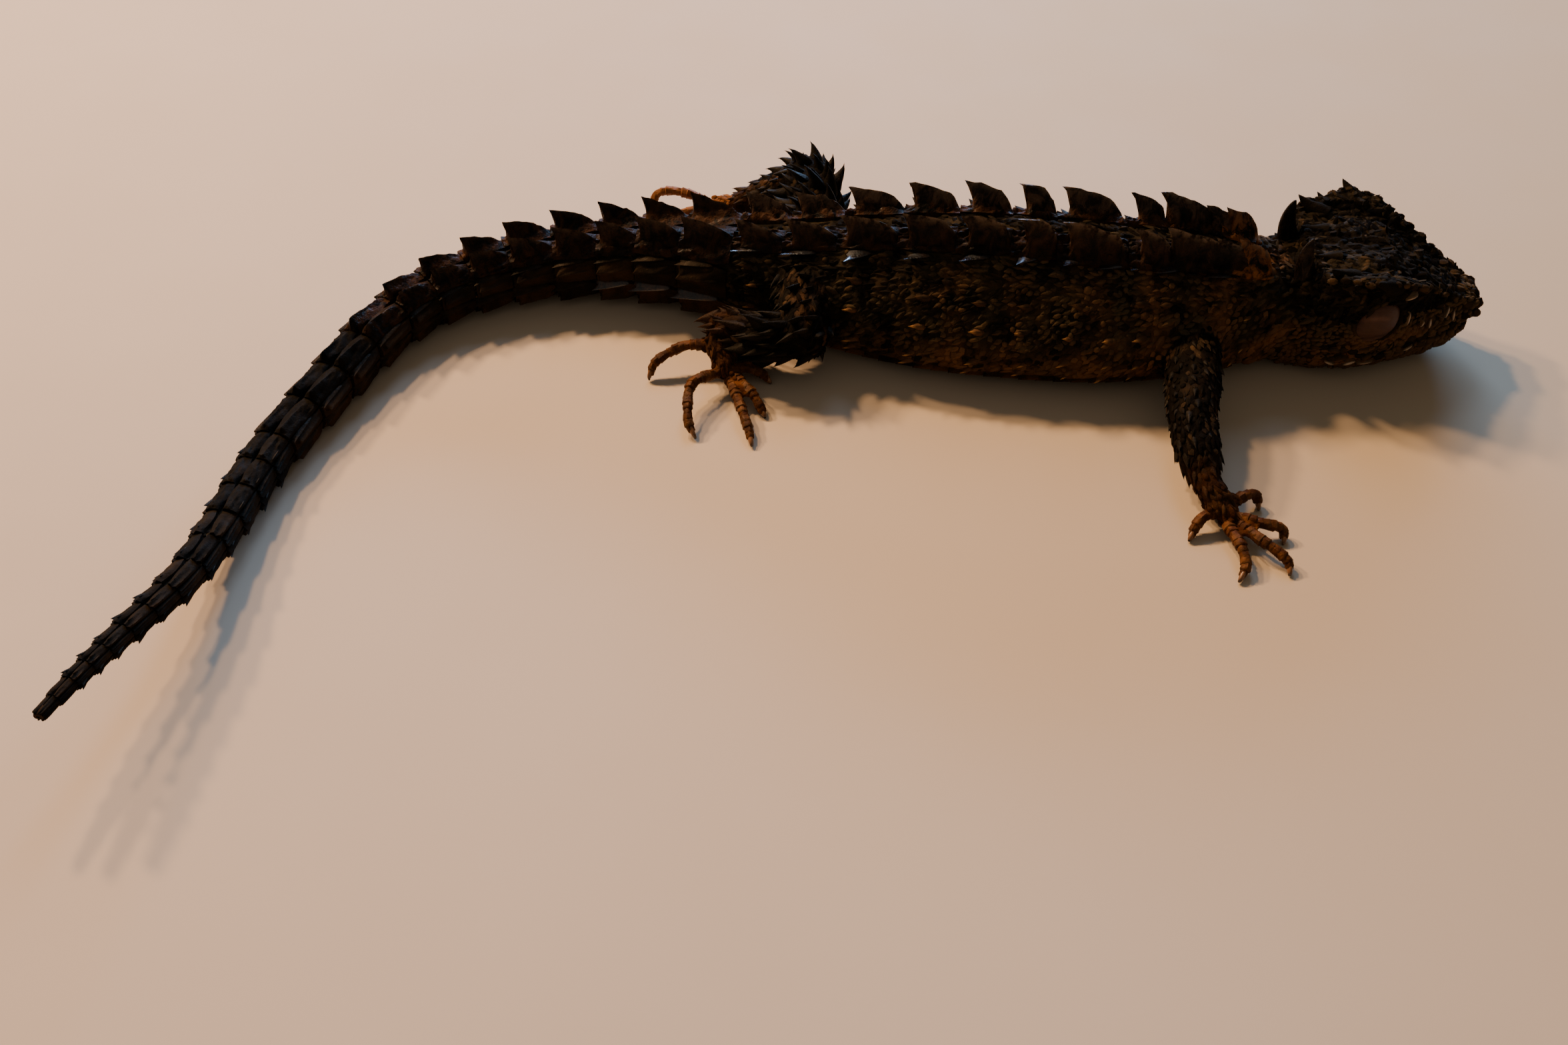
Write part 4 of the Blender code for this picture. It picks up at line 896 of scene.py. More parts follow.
class Nodes:
    """A material's nodes, made and joined in few words."""

    def __init__(self, name):
        self.material = bpy.data.materials.new(name)
        self.material.use_nodes = True
        self.tree = self.material.node_tree
        self.shader = self.tree.nodes["Principled BSDF"]
        self.place = self.make("ShaderNodeTexCoord").outputs["Object"]

    def make(self, kind, **values):
        node = self.tree.nodes.new(kind)
        for key, value in values.items():
            setattr(node, key, value)
        return node

    def join(self, output, socket):
        self.tree.links.new(output, socket)

    def put(self, socket, value):
        """Give a socket a number, a colour or the output of another node."""
        if isinstance(value, bpy.types.NodeSocket):
            self.join(value, socket)
        elif socket.type == "RGBA" and len(value) == 3:
            socket.default_value = (*value, 1)
        else:
            socket.default_value = value

    def fill(self, node, **values):
        """Put values into the sockets of a node, by their names with _ for each space."""
        for key, value in values.items():
            self.put(node.inputs[key.replace("_", " ")], value)
        return node

    def mark(self, name):
        """A value kept on the points of the mesh."""
        return self.make("ShaderNodeAttribute", attribute_name=name).outputs["Fac"]

    def noise(self, scale, detail=4.0, roughness=0.55, stretch=None, distortion=0.0):
        """Noise in the object's own metres, drawn out where stretch is below one."""
        source = self.place
        if stretch:
            mapping = self.make("ShaderNodeMapping")
            mapping.inputs["Scale"].default_value = stretch
            self.join(source, mapping.inputs["Vector"])
            source = mapping.outputs["Vector"]
        node = self.fill(self.make("ShaderNodeTexNoise"), Vector=source, Scale=scale, Detail=detail,
                         Roughness=roughness, Distortion=distortion)
        return node.outputs["Fac"]

    def math(self, operation, a, b, clamp=False):
        node = self.make("ShaderNodeMath", operation=operation, use_clamp=clamp)
        for socket, value in zip(node.inputs, (a, b)):
            self.put(socket, value)
        return node.outputs[0]

    def plus(self, a, b):
        return self.math("ADD", a, b)

    def times(self, a, b, clamp=False):
        return self.math("MULTIPLY", a, b, clamp)

    def step(self, value, low, high, to_low=0.0, to_high=1.0):
        """A value below low turned to to_low and above high to to_high, with a soft step between."""
        node = self.fill(self.make("ShaderNodeMapRange", interpolation_type="SMOOTHSTEP"), Value=value,
                         From_Min=low, From_Max=high, To_Min=to_low, To_Max=to_high)
        return node.outputs["Result"]

    def mix(self, share, a, b):
        """Colour a turned to colour b by a share."""
        node = self.make("ShaderNodeMix", data_type="RGBA")
        for number, value in ((0, share), (6, a), (7, b)):
            self.put(node.inputs[number], value)
        return node.outputs[2]

    def bump(self, height, strength, distance):
        node = self.fill(self.make("ShaderNodeBump"), Height=height, Strength=strength, Distance=distance)
        self.join(node.outputs["Normal"], self.shader.inputs["Normal"])

    def finish(self, colour, roughness, **numbers):
        """The material, with its colour, its roughness and the shader's own numbers."""
        self.fill(self.shader, Base_Color=colour, Roughness=roughness, **numbers)
        return self.material


# colours in linear light
BLACK_BROWN = (0.0088, 0.0072, 0.0052)
DARK_BROWN = (0.015, 0.0096, 0.0056)
# near-black: the scales' own darkest colour, and painted shade where tone is lowered for shade
NEAR_BLACK_AND_SHADE = (0.0015, 0.0012, 0.0010)
OLIVE = (0.070, 0.049, 0.024)
RUST = (0.185, 0.080, 0.030)
AMBER = (0.175, 0.062, 0.014)
DARK_AMBER = (0.052, 0.015, 0.004)
LIT_AMBER = (0.26, 0.095, 0.026)
# painted shade: near-black put into the mouth and the eye creases
HOLLOW_SHADE = (0.002, 0.0012, 0.0008)
# colours of raised tips: partly the scales' own pale and orange tips, partly painted highlight on crests
BROWN_EDGE, GREY_EDGE = (0.10, 0.052, 0.020), (0.034, 0.023, 0.013)
PALE_EDGE_HIGHLIGHT, ORANGE_EDGE = (0.80, 0.58, 0.40), (0.90, 0.42, 0.12)
HORN_BROWNS = (0.0028, 0.0020, 0.0013), (0.012, 0.0073, 0.0036)
HORN_BLACKS = (0.0020, 0.0015, 0.0012), (0.020, 0.011, 0.0045)
# painted light: paler horn for the fin faces that are painted as if lit
PAINTED_LIT_HORN = (0.018, 0.0125, 0.0080), (0.130, 0.085, 0.056)
# painted highlight colour for fin crests, then the fins' own rust
HORN_RIM_HIGHLIGHT, HORN_RUST = (0.21, 0.145, 0.095), (0.36, 0.125, 0.028)
CLAW_ROOT, CLAW_TIP, CLAW_STREAK = (0.20, 0.085, 0.028), (0.02, 0.012, 0.008), (0.10, 0.05, 0.022)
# lid colours; the last is painted shade for its creases
LID_DARK, LID_PALE, LID_CREASE_SHADE = (0.080, 0.034, 0.019), (0.135, 0.066, 0.043), (0.035, 0.016, 0.010)
# floor: faint mottle, then a darker colour that paints shade of light falling off to the right
FLOOR_DARK, FLOOR_PALE, FLOOR_FALLOFF_SHADE = (0.60, 0.475, 0.35), (0.63, 0.505, 0.375), (0.545, 0.425, 0.285)


def scale_material(name, light=1.0, shine=0.66, specular=0.03, tip_colour_and_highlight=BROWN_EDGE):
    """Dark scales with olive highlights, rust patches and amber feet, by the marks on the mesh; also painted
    highlight on raised tips, a far foot painted lighter as if lit, and painted shade in the mouth, round the
    eyes and where tone is lowered for it.
    """
    m = Nodes(name)
    tone, warm, tip, foot = (m.mark(key) for key in MARKS)
    coarse, fine = m.noise(420, 5, 0.6), m.noise(2600, 4, 0.6)
    olive = m.step(m.plus(m.times(tone, 0.6), m.times(coarse, 0.7)), 0.45, 1.05, 0, 0.9 * light)
    colour = m.mix(olive, BLACK_BROWN, OLIVE)
    colour = m.mix(m.step(fine, 0.45, 0.75, 0, 0.5), colour, DARK_BROWN)
    patches = m.step(m.plus(m.times(coarse, 0.8), m.times(tone, 0.4)), 0.4, 0.85)
    colour = m.mix(m.times(warm, patches, clamp=True), colour, RUST)
    # painted shade: the lowest tones go near-black, partly the scales' own dark colour and partly shade
    # painted where tone was lowered
    colour = m.mix(m.step(tone, 0.0, 0.14, 0.65, 0.0), colour, NEAR_BLACK_AND_SHADE)
    feet = m.mix(m.step(m.noise(900, 4), 0.38, 0.78), DARK_AMBER, AMBER)
    # painted light: where warm is full, on the far hind foot, the amber is painted lighter as if lit from
    # behind
    feet = m.mix(m.step(warm, 0.9, 1.0), feet, LIT_AMBER)
    colour = m.mix(m.times(foot, 0.92), colour, feet)
    # lighter raised tips: partly the scales' own tip colour, partly painted highlight on crests
    edge = m.times(m.step(tip, 0.55, 1.0), m.step(tone, 0.35, 0.95, 0.0, 0.6))
    colour = m.mix(edge, colour, tip_colour_and_highlight)
    # painted shade in the mouth and round the eyes, by the dark mark
    colour = m.mix(m.times(m.mark("dark"), 0.9), colour, HOLLOW_SHADE)
    m.bump(m.plus(m.noise(5200, 3, 0.6), m.times(m.noise(1500, 3), 1.3)), 0.55, 0.00012)
    rough = m.step(m.noise(700, 4), 0.3, 0.7, shine - 0.06, shine + 0.2)
    return m.finish(colour, rough, Specular_IOR_Level=specular, Specular_Tint=(1.0, 0.84, 0.62))


def fin_material(name, specular, coat):
    """Horny fin: rough and brown at its root, near-black above, the marked faces painted paler as if lit, and
    a painted highlight along its crest.
    """
    m = Nodes(name)
    tone, warm, tip, rim = (m.mark(key) for key in MARKS)
    streak = m.noise(620, 6, 0.72, (1, 1, 0.55), 0.8)
    uneven_tip = m.plus(tip, m.times(m.math("SUBTRACT", streak, 0.5), 0.9))
    root = m.math("SUBTRACT", 1.0, m.step(uneven_tip, 0.08, 0.62))
    brown = m.mix(m.step(m.noise(800, 6, 0.7), 0.53, 0.70), *HORN_BROWNS)
    black = m.mix(m.step(streak, 0.54, 0.70), *HORN_BLACKS)
    # painted light: the faces marked by tone are painted paler, standing in for light on them
    painted_lit_face = m.mix(m.step(streak, 0.42, 0.66), *PAINTED_LIT_HORN)
    colour = m.mix(root, m.mix(m.times(tone, 0.9), black, painted_lit_face), brown)
    # painted highlight: the foot mark of the fins holds their crest line, painted pale
    colour = m.mix(m.times(rim, m.step(m.noise(1100, 3), 0.38, 0.60, 0.0, 0.9)), colour, HORN_RIM_HIGHLIGHT)
    colour = m.mix(m.times(warm, m.step(streak, 0.40, 0.60)), colour, HORN_RUST)
    m.bump(m.plus(m.noise(1600, 4, 0.6, (1, 1, 0.45)), m.times(m.noise(4200, 3), 0.5)), 0.7, 0.00026)
    rough = m.step(m.plus(root, m.times(m.noise(900, 3), 0.3)), 0.1, 1.1, 0.26, 0.6)
    return m.finish(colour, rough, Specular_IOR_Level=specular, Coat_Weight=coat, Coat_Roughness=0.16,
                    Coat_Tint=(0.72, 0.84, 1.0))


def claw_material():
    """Claw horn: amber at the root, dark towards the point."""
    m = Nodes("claw_horn")
    colour = m.mix(m.step(m.mark("tip"), 0.15, 0.8), CLAW_ROOT, CLAW_TIP)
    colour = m.mix(m.step(m.noise(2400, 3), 0.5, 0.8, 0, 0.5), colour, CLAW_STREAK)
    m.bump(m.noise(3000, 3, 0.5, (1, 1, 3)), 0.25, 0.0001)
    return m.finish(colour, m.step(m.noise(1200, 2), 0.3, 0.7, 0.25, 0.42), Specular_IOR_Level=0.55)


def eye_material():
    """Closed lid: dull pinkish mauve skin with fine folds, a painted highlight on its upper curve and painted
    shade in its folds.
    """
    m = Nodes("eye_lid")
    mottled = m.noise(700, 5, 0.6)
    colour = m.mix(m.step(mottled, 0.3, 0.7), LID_DARK, LID_PALE)
    # painted shade where tone is low in the creases, painted highlight where it is high on the upper curve
    colour = m.mix(m.step(m.mark("tone"), 0.2, 0.9), LID_CREASE_SHADE, colour)
    m.bump(m.plus(m.noise(2600, 4, 0.6, (1, 1, 2.5)), m.noise(900, 2)), 0.35, 0.00014)
    return m.finish(colour, m.step(mottled, 0.3, 0.7, 0.42, 0.6), Specular_IOR_Level=0.2)


def floor_material():
    """Plain warm pale floor with a very faint tooth, and painted shade that makes it darker to the right,
    standing in for light falling off.
    """
    m = Nodes("floor")
    colour = m.mix(m.step(m.noise(9, 3), 0.3, 0.7), FLOOR_DARK, FLOOR_PALE)
    parts = m.fill(m.make("ShaderNodeSeparateXYZ"), Vector=m.place)
    # painted shade: the floor grows darker to the right
    colour = m.mix(m.step(parts.outputs["X"], -0.02, 0.12), colour, FLOOR_FALLOFF_SHADE)
    m.bump(m.noise(900, 3), 0.05, 0.0001)
    return m.finish(colour, m.step(m.noise(60, 2), 0.3, 0.7, 0.8, 0.9), Specular_IOR_Level=0.2)


SCALES = scale_material("dark_scales")
SKIN = scale_material("dark_skin", 0.6, 0.7, 0.02)
CROWN = scale_material("crown_skin", 0.75, 0.82, 0.02)
PLATES = scale_material("dark_plates", 0.12, 0.7, 0.04, GREY_EDGE)
THORNS = scale_material("thorns", 0.5, 0.5, 0.10, ORANGE_EDGE)
# pale ridges: their own pale colour brightened with painted highlight
RIDGE = scale_material("pale_ridge", 1.2, 0.4, 0.3, PALE_EDGE_HIGHLIGHT)
FEET = scale_material("amber_scales", 1.0, 0.45, 0.10)
FINS = fin_material("fin_horn", 0.07, 0.02)
THORN_HORN = fin_material("thorn_horn", 0.5, 0.9)
CLAWS = claw_material()
LIDS = eye_material()


# build

skin, TREE, SKIN_POINTS, SKIN_NORMALS = make_skin(SKIN)
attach(skin, "root")
FLESH = [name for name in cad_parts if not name.startswith("eye")]
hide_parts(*FLESH)


def on_skin(points):
    """Nearest skin points with their outward directions."""
    found = [TREE.find_nearest(Vector(p)) for p in points]
    return np.array([f[0] for f in found]), np.array([f[1] for f in found])


# places where a large scale stands, so that no small one is put under it: point and radius
TAKEN = []


def seeds(count):
    """Even random places over the skin with their outward directions."""
    mesh = skin.data
    mesh.calc_loop_triangles()
    index = read(mesh.loop_triangles, "vertices", 3, np.int32)
    corner = SKIN_POINTS[index]
    normal = np.cross(corner[:, 1] - corner[:, 0], corner[:, 2] - corner[:, 0])
    area = np.linalg.norm(normal, axis=1) / 2
    chosen = RNG.choice(len(area), count, p=area / area.sum())
    r1, r2 = np.sqrt(RNG.random(count))[:, None], RNG.random(count)[:, None]
    a, b, c = (corner[chosen, i] for i in range(3))
    return (1 - r1) * a + r1 * (1 - r2) * b + r1 * r2 * c, unit(SKIN_NORMALS[index[chosen]].mean(1))


def tree_of(points):
    """Tree that finds the points near a place."""
    tree = KDTree(len(points))
    for i, p in enumerate(points):
        tree.insert(p, i)
    tree.balance()
    return tree


def thin(points, spacing, blocked):
    """Indices of points kept so that none is nearer to another than its spacing."""
    tree = tree_of(points)
    alive = ~blocked
    for i in range(len(points)):
        if alive[i]:
            for _, j, _ in tree.find_range(points[i], spacing[i]):
                if j > i:
                    alive[j] = False
    return np.flatnonzero(alive)


# fins, plates and thorns, whorl by whorl from the nape to the tip of the tail

fins, plates, cones, blades = Coat(), Coat(), Coat(), Coat()
DRAW = np.random.default_rng(7)
# rows of thorns down the flank: degrees above the side, height and width
TRUNK_ROWS = ((38, 0.8, 1.5), (19, 0.9, 1.4), (-4, 0.9, 1.35), (-20, 0.8, 1.3))
# plates down the side of the tail: upper and lower edge in degrees and height of the keel
TAIL_PLATES = ((29, -9, 1.0), (-11, -56, 0.85), (-58, -89, 0.2))
TOP_PLATE = (89, 31, 0.3)
# fins that reach further forward than their whorl, and how tall each stands
FIN_REACH = {1: 1.2, 2: 2.6, 3: 3.2, 4: 4.2, 5: 1.6, 7: 2.8}
FIN_SHARE = {1: 0.74, 2: 0.80, 3: 0.84, 4: 0.98, 5: 0.86, 6: 0.3,
             7: 1.0, 8: 1.14, 9: 1.03, 10: 1.08, 11: 1.04}
LEAST_FIN, FINE_WHORL, LAST_HORN_FIN = 0.45, 0.7, -62


def near_limb(point, margin):
    """Whether a body point lies under or close beside the root of a limb."""
    for _, part, line in PARTS:
        if part == "upper":
            rows = centre_line(line, np.linspace(0, len(line) - 1, 9))
            if np.any(np.linalg.norm(rows[:, :3] - point, axis=1) < rows[:, 3] + margin):
                return True
    return False


def mirror(degrees, side):
    """Angle on the left or right side of the body."""
    return math.radians(degrees) if side > 0 else math.pi - math.radians(degrees)


def body_scale(coat, shape, place, angle, size, tone, warm, lean=(0, 0, 0), lift=None):
    """One scale of the body: on the skin, or where lift is given, that far from the smooth body."""
    point, normal, back = (v[0] for v in body_frame([place], [angle]))
    if lift is None:
        on, out = on_skin([point])
        normal = out[0] + normal
    else:
        on = (point + lift * normal)[None]
    uv = atlas(BODY, [place], [angle])
    coat.scatter(shape, on, back[None], (normal + lean)[None], np.array([size]), uv, tone, warm)
    return point


class Whorl:
    """One side of a ring of large scales round the body, with the scales that stand on it."""

    def __init__(self, number, front, rear, side):
        self.number, self.front, self.rear, self.side = number, front, rear, side
        self.length = front - rear
        self.middle = front - 0.5 * self.length
        self.height = float(curve(FIN_HEIGHTS, front)[0, 0])
        self.half_width = float(curve(BODY_PROFILE, front)[0, 0])
        self.trunk = self.middle > -6
        self.scale = min(1.0, self.half_width / 4.4)
        self.warm = 0.7 if 53 < self.middle < 60.5 else 0.14
        self.seed = number * 2.3 + side * 0.7

    def fin(self):
        """Upright fin beside the middle line, where the fins are tall enough."""
        tall = self.height * DRAW.uniform(0.97, 1.03) * FIN_SHARE.get(self.number, 1.0)
        if self.height <= LEAST_FIN:
            return
        offset = min(FIN_ROW_OFFSET, (0.56 if self.trunk else 0.42) * self.half_width) / self.half_width
        crest = math.acos(self.side * offset ** (float(curve(SECTION_SHAPES, self.middle)[0, 1]) / 2))
        point, normal, _ = (v[0] for v in body_frame([self.middle], [crest]))
        upright = unit((normal + np.array((0, 0, 3.0)))[None])[0]
        if self.trunk:
            hook, rough, tall = 0.48, 0.36, tall + 0.1
            low, high = crest - 1.9 / self.half_width, crest + 1.9 / self.half_width
        else:
            hook, rough, tall = 0.3, 0.2 * self.scale, tall - 0.25
            low, high = sorted((mirror(31, self.side), mirror(90, self.side)))
        reach = FIN_REACH.get(self.number, 0.0)
        end = 1 - (hook * tall + 0.03 * self.length) / (self.length + reach)
        points, faces, uv, tip, rim, across = ridge_plate(
            self.front + reach, self.rear - 0.05, low, high, crest, tall, 0.66 * (0.5 + 0.5 * self.scale),
            upright, hook, 0.25, 0.12, rows=20, columns=21, rough=rough, seed=self.seed, end=end, start=0.03,
            full=1.0 if self.middle > 4 else 0.35)
        # painted light: the faces that look to the middle of the back are painted paler as if lit, much more
        # on the far row than on the near row
        painted_lit_face = (0.8 if self.side > 0 else 0.2) * (across * self.side > 0) if self.trunk else 0.0
        horny = self.middle > LAST_HORN_FIN
        warm = (self.warm - 0.08 * (self.side < 0)) * (1 - 0.55 * tip)
        # painted highlight: the crest line goes into the foot mark, weaker on the tail
        (fins if horny else plates).add(points, faces, uv, tone=painted_lit_face + 0.12 * DRAW.random(), warm=warm,
                                        tip=tip, foot=rim * (0.9 if self.trunk else 0.3 * horny))
        TAKEN.append((point, 0.36 * self.length))

    def row_thorn(self):
        """Large thorn of the row between back and flank."""
        small = 0.6 if self.number % 2 and self.middle > 40 else DRAW.uniform(0.85, 1.1)
        point = body_scale(cones if self.side > 0 else blades, BLADE, self.middle - 0.1 * self.length,
                           mirror(59, self.side), np.array((3.2, 0.8, 2.1)) * small, 0.0, self.warm * 0.5,
                           lean=(0, 0, -1.35))
        TAKEN.append((point, 1.1 * small))

    def flank_thorns(self):
        """Smaller thorns in rows down the flank, but none under a limb."""
        for degrees, rise, width in TRUNK_ROWS:
            place = self.front - self.length * (0.52 + 0.12 * DRAW.uniform(-1, 1))
            angle = mirror(degrees + DRAW.uniform(-3, 3), self.side)
            point = body_frame([place], [angle])[0][0]
            if point[2] < 0.7 or near_limb(point, 1.2):
                continue
            size = np.array((width * 0.95, width * 0.7, rise + 0.1)) * DRAW.uniform(0.8, 1.15)
            tone, warm = (0.8, 0.42) if degrees < 25 else (0.5, 0.3)
            body_scale(cones, THORN, place, angle, size, tone, warm)
            TAKEN.append((point, width * 0.3))

    def tail_plates(self):
        """Keeled plates down the side of the tail, and over its top where there are no fins."""
        scale = self.scale
        for top, foot, keel in ((TOP_PLATE,) if self.height <= LEAST_FIN else ()) + TAIL_PLATES:
            low, high = sorted((mirror(top, self.side), mirror(foot, self.side)))
            if self.height < FINE_WHORL:
                points, faces, uv, tip = body_plate(
                    self.front - 0.04 * self.length, self.rear - 0.03, low + 0.02, high - 0.02,
                    (0.14 + 0.12 * scale) * min(1.0, self.half_width / 1.3), 0.34 * scale, 0.7 * scale,
                    0.5 * scale, rows=10, columns=13, keels=3 if keel > 0.5 else 2,
                    seed=self.seed * 3 + foot, rough=0.12 * scale)
                tone, warm = DRAW.uniform(0.0, 0.6), 0.06
            else:
                points, faces, uv, tip, _, _ = ridge_plate(
                    self.front - 0.04 * self.length, self.rear, low + 0.02, high - 0.02,
                    low * 0.5 + high * 0.5, keel * 1.35 * scale, 0.75 * scale, None, 0.5, 0.14 + 0.1 * scale,
                    0.3 * scale, rows=14, columns=15, rough=0.15 * scale, seed=self.seed + foot, end=0.86)
                tone, warm = DRAW.uniform(0.1, 0.8), 0.1 + 0.12 * (foot < -20)
            plates.add(points, faces, uv, tone=tone, warm=warm, tip=tip)
        TAKEN.append((body([self.middle], [mirror(60, self.side)])[0], 0.4 * self.length))

    def tail_thorns(self):
        """Thorns on the plates of the tail: two to a side on large whorls, four on fine ones."""
        if self.height >= FINE_WHORL:
            for degrees, share in ((28, 0.8), (-12, 1.0)):
                horny = degrees < 0 and self.middle > -24
                coat, wide, tone = (blades, 0.7, 0.0) if horny else (cones, 0.45, 0.3)
                size = np.array((0.78 * self.length, wide, 1.15 * self.scale)) * share
                body_scale(coat, BLADE, self.front - 0.62 * self.length, mirror(degrees, self.side), size,
                           tone, 0.15, lean=(0, 0, -0.5), lift=0.25)
        elif self.middle > TAIL_TIP + 7:
            for degrees, share in ((70, 0.6), (46, 0.8), (-2, 0.7), (-42, 0.8)):
                size = np.array((0.55 * self.length, 0.9 * self.scale, 0.35 + 1.1 * self.scale)) * share
                body_scale(cones, BLADE, self.front - 0.72 * self.length, mirror(degrees, self.side),
                           size * DRAW.uniform(0.8, 1.15), 0.3, 0.1, lift=0.12)


def whorls():
    """All the large scales of trunk and tail."""
    for number, (front, rear) in enumerate(zip(WHORLS, WHORLS[1:])):
        for side in (1, -1):
            whorl = Whorl(number, front, rear, side)
            whorl.fin()
            if not whorl.trunk:
                whorl.tail_plates()
                whorl.tail_thorns()
            elif whorl.middle < 57:
                whorl.row_thorn()
                whorl.flank_thorns()


def belly_scales():
    """Smooth wide scales under the trunk."""
    edges = np.radians(np.linspace(-150, -30, 11))
    for s in np.arange(56.0, -7.0, -2.1):
        if float(curve(BODY_PROFILE, s)[0, 0]) < 5.0:
            continue
        shift = (edges[1] - edges[0]) * 0.5 * (round(s / 2.1) % 2)
        for a, b in zip(edges, edges[1:]):
            points, faces, uv, tip = body_plate(
                s, s - 2.2, a + shift + 0.01, b + shift - 0.01, 0.14, 0.03, 0.3, 0.1,
                rows=5, columns=6, seed=int(s * 3) + int(a * 9), rough=0.03)
            plates.add(points, faces, uv, tone=DRAW.uniform(0.3, 0.9), warm=0.5, tip=tip * 0.3)


def tail_end():
    """Blunt end of the tail."""
    rows = np.linspace(0, 1, 7)
    cap = body(np.repeat(TAIL_TIP + 2.0 - 2.1 * rows, 12),
               np.tile(np.linspace(-math.pi, math.pi, 12, endpoint=False), 7),
               np.repeat(0.04 - 0.4 * rows ** 2, 12)).reshape(7, 12, 3)
    points, faces, _ = fan_solid(list(cap), body([TAIL_TIP], [math.pi / 2], -0.45)[0])
    plates.add(points, faces[:, ::-1], atlas(BODY, [TAIL_TIP + 1.0], [0.0]), tone=0.3, warm=0.5, tip=0.1)


whorls()
belly_scales()
tail_end()

# spikes, horns and pale scales of the head

horns, nape, pale = Coat(), Coat(), Coat()
BACKWARDS = (-1, 0, 0)
# scales of the snout, round the nostrils and over its tip: x, side, height and size
SNOUT_SCALES = (
    (24.6, 2.3, 8.1, 1.5), (23.3, 2.9, 8.4, 1.3), (25.3, 1.1, 7.6, 1.4), (24.4, 1.0, 8.7, 1.3),
    (22.3, 1.4, 9.6, 1.3), (25.0, 2.5, 6.9, 1.2), (23.4, 3.3, 7.0, 1.2), (20.9, 2.6, 10.4, 1.3),
)
# pale ridges over the brow and along the lips, partly their own pale colour and partly painted highlight: x,
# side, height, length, width and lie
PALE_RIDGES = (
    (14.4, 7.9, 12.7, 1.9, 0.8, (-1, 0, 0.3)), (14.7, 7.9, 9.6, 2.2, 0.45, (0.25, 0, 1)),
    (17.2, 6.7, 8.0, 1.6, 0.4, (-0.5, 0, 1)), (18.4, 6.1, 7.6, 1.4, 0.35, (0.3, 0, 1)),
    (20.4, 5.0, 8.6, 1.8, 0.4, (1, 0, 0.6)), (21.6, 4.3, 7.6, 1.5, 0.35, (0.2, 0, 1)),
    (9.0, 9.4, 3.0, 1.8, 0.5, (1, 0, 0.3)), (11.4, 8.7, 2.2, 2.2, 0.5, (1, 0, 0.25)),
    (16.6, 6.6, 4.0, 1.5, 0.4, (1, 0, 0.8)), (6.2, 9.2, 2.6, 1.6, 0.5, (1, 0, -0.3)),
)


def oval(centre, long_way, wide_way, long, wide, sides):
    """Ring of points round a centre, with its half length along one way and half width along another."""
    a = np.linspace(0, 2 * math.pi, sides, endpoint=False)
    return centre + long_way * (np.cos(a) * long)[:, None] + wide_way * (np.sin(a) * wide)[:, None]


def spike(tip, inward, back, length, width):
    """Pointed horny spike that stands on an inward root, flattened along back."""
    normal = -unit(inward[None])[0]
    back = unit((back - normal * np.dot(back, normal))[None])[0]
    across = np.cross(normal, back)
    levels = []
    for share, size in ((-0.5, 1.5), (-0.1, 1.2), (0.2, 0.85), (0.45, 0.6), (0.7, 0.36), (0.88, 0.17)):
        centre = tip + inward * (1 - share) - back * 0.25 * (1 - share) ** 2
        levels.append(oval(centre, back, across, length * 0.42 * size, width * 0.5 * size, 12))
    points, faces, _ = fan_solid(levels, tip)
    return points, faces, np.concatenate([np.repeat([0, 0, 0.0, 0.15, 0.7, 1], 12), [1, 0]])


def head_spikes():
    """Spikes of the casque, on both sides."""
    for (x, out, height), root, width, length in HEAD_SPIKES[:-1]:
        for side in (1, -1):
            points, faces, tip = spike(
                head_point(x, side * out, height)[0], head_direction(x, (root[0], side * root[1], root[2])),
                head_direction(x, BACKWARDS), length * 0.8, width * 0.7)
            uv = atlas(HEAD, [HEAD_BACK + x], [math.pi / 2 - side * 0.8])
            horns.add(points, faces, uv, tone=0.25, tip=tip)


def nape_horns():
    """Blunt upright horn on each side of the nape."""
    (x, out, base), rise, width, length = NAPE_HORN
    back, up = head_direction(x, BACKWARDS), np.array((0, 0, 1.0))
    aside = np.cross(up, back)
    for side in (1, -1):
        place = head_point(x - 0.1, side * out, base)[0]
        levels = []
        for share in np.concatenate([[-0.35], np.linspace(0, 0.97, 12)]):
            above = max(share, 0)
            thick = (1 - above) ** 0.55
            centre = place + back * (0.1 + 0.6 * math.sin(math.pi * above * 0.85)) + up * share * (rise + 0.1)
            levels.append(oval(centre, back, aside, length * 0.46 * thick, width * 0.62 * thick, 16))
        points, faces, _ = fan_solid(levels, place + back * 0.32 + up * (rise + 0.1))
        tip = np.concatenate([[0.3] * 16, np.repeat(np.linspace(0.45, 1, 12), 16), [1, 0]])
        nape.add(points, faces, atlas(HEAD, [HEAD_BACK + x], [math.pi / 2 - side * 0.4]), tone=0.2, tip=tip)


def head_scale(coat, x, side, on, normal, size, tone, warm, lie=BACKWARDS):
    """One shield on the skin of the head."""
    uv = atlas(HEAD, [HEAD_BACK + x], [side * 0.3 + (math.pi if side < 0 else 0)])
    coat.scatter(SHIELD, on, head_direction(x, lie)[None], normal, np.array([size]), uv, tone, warm)


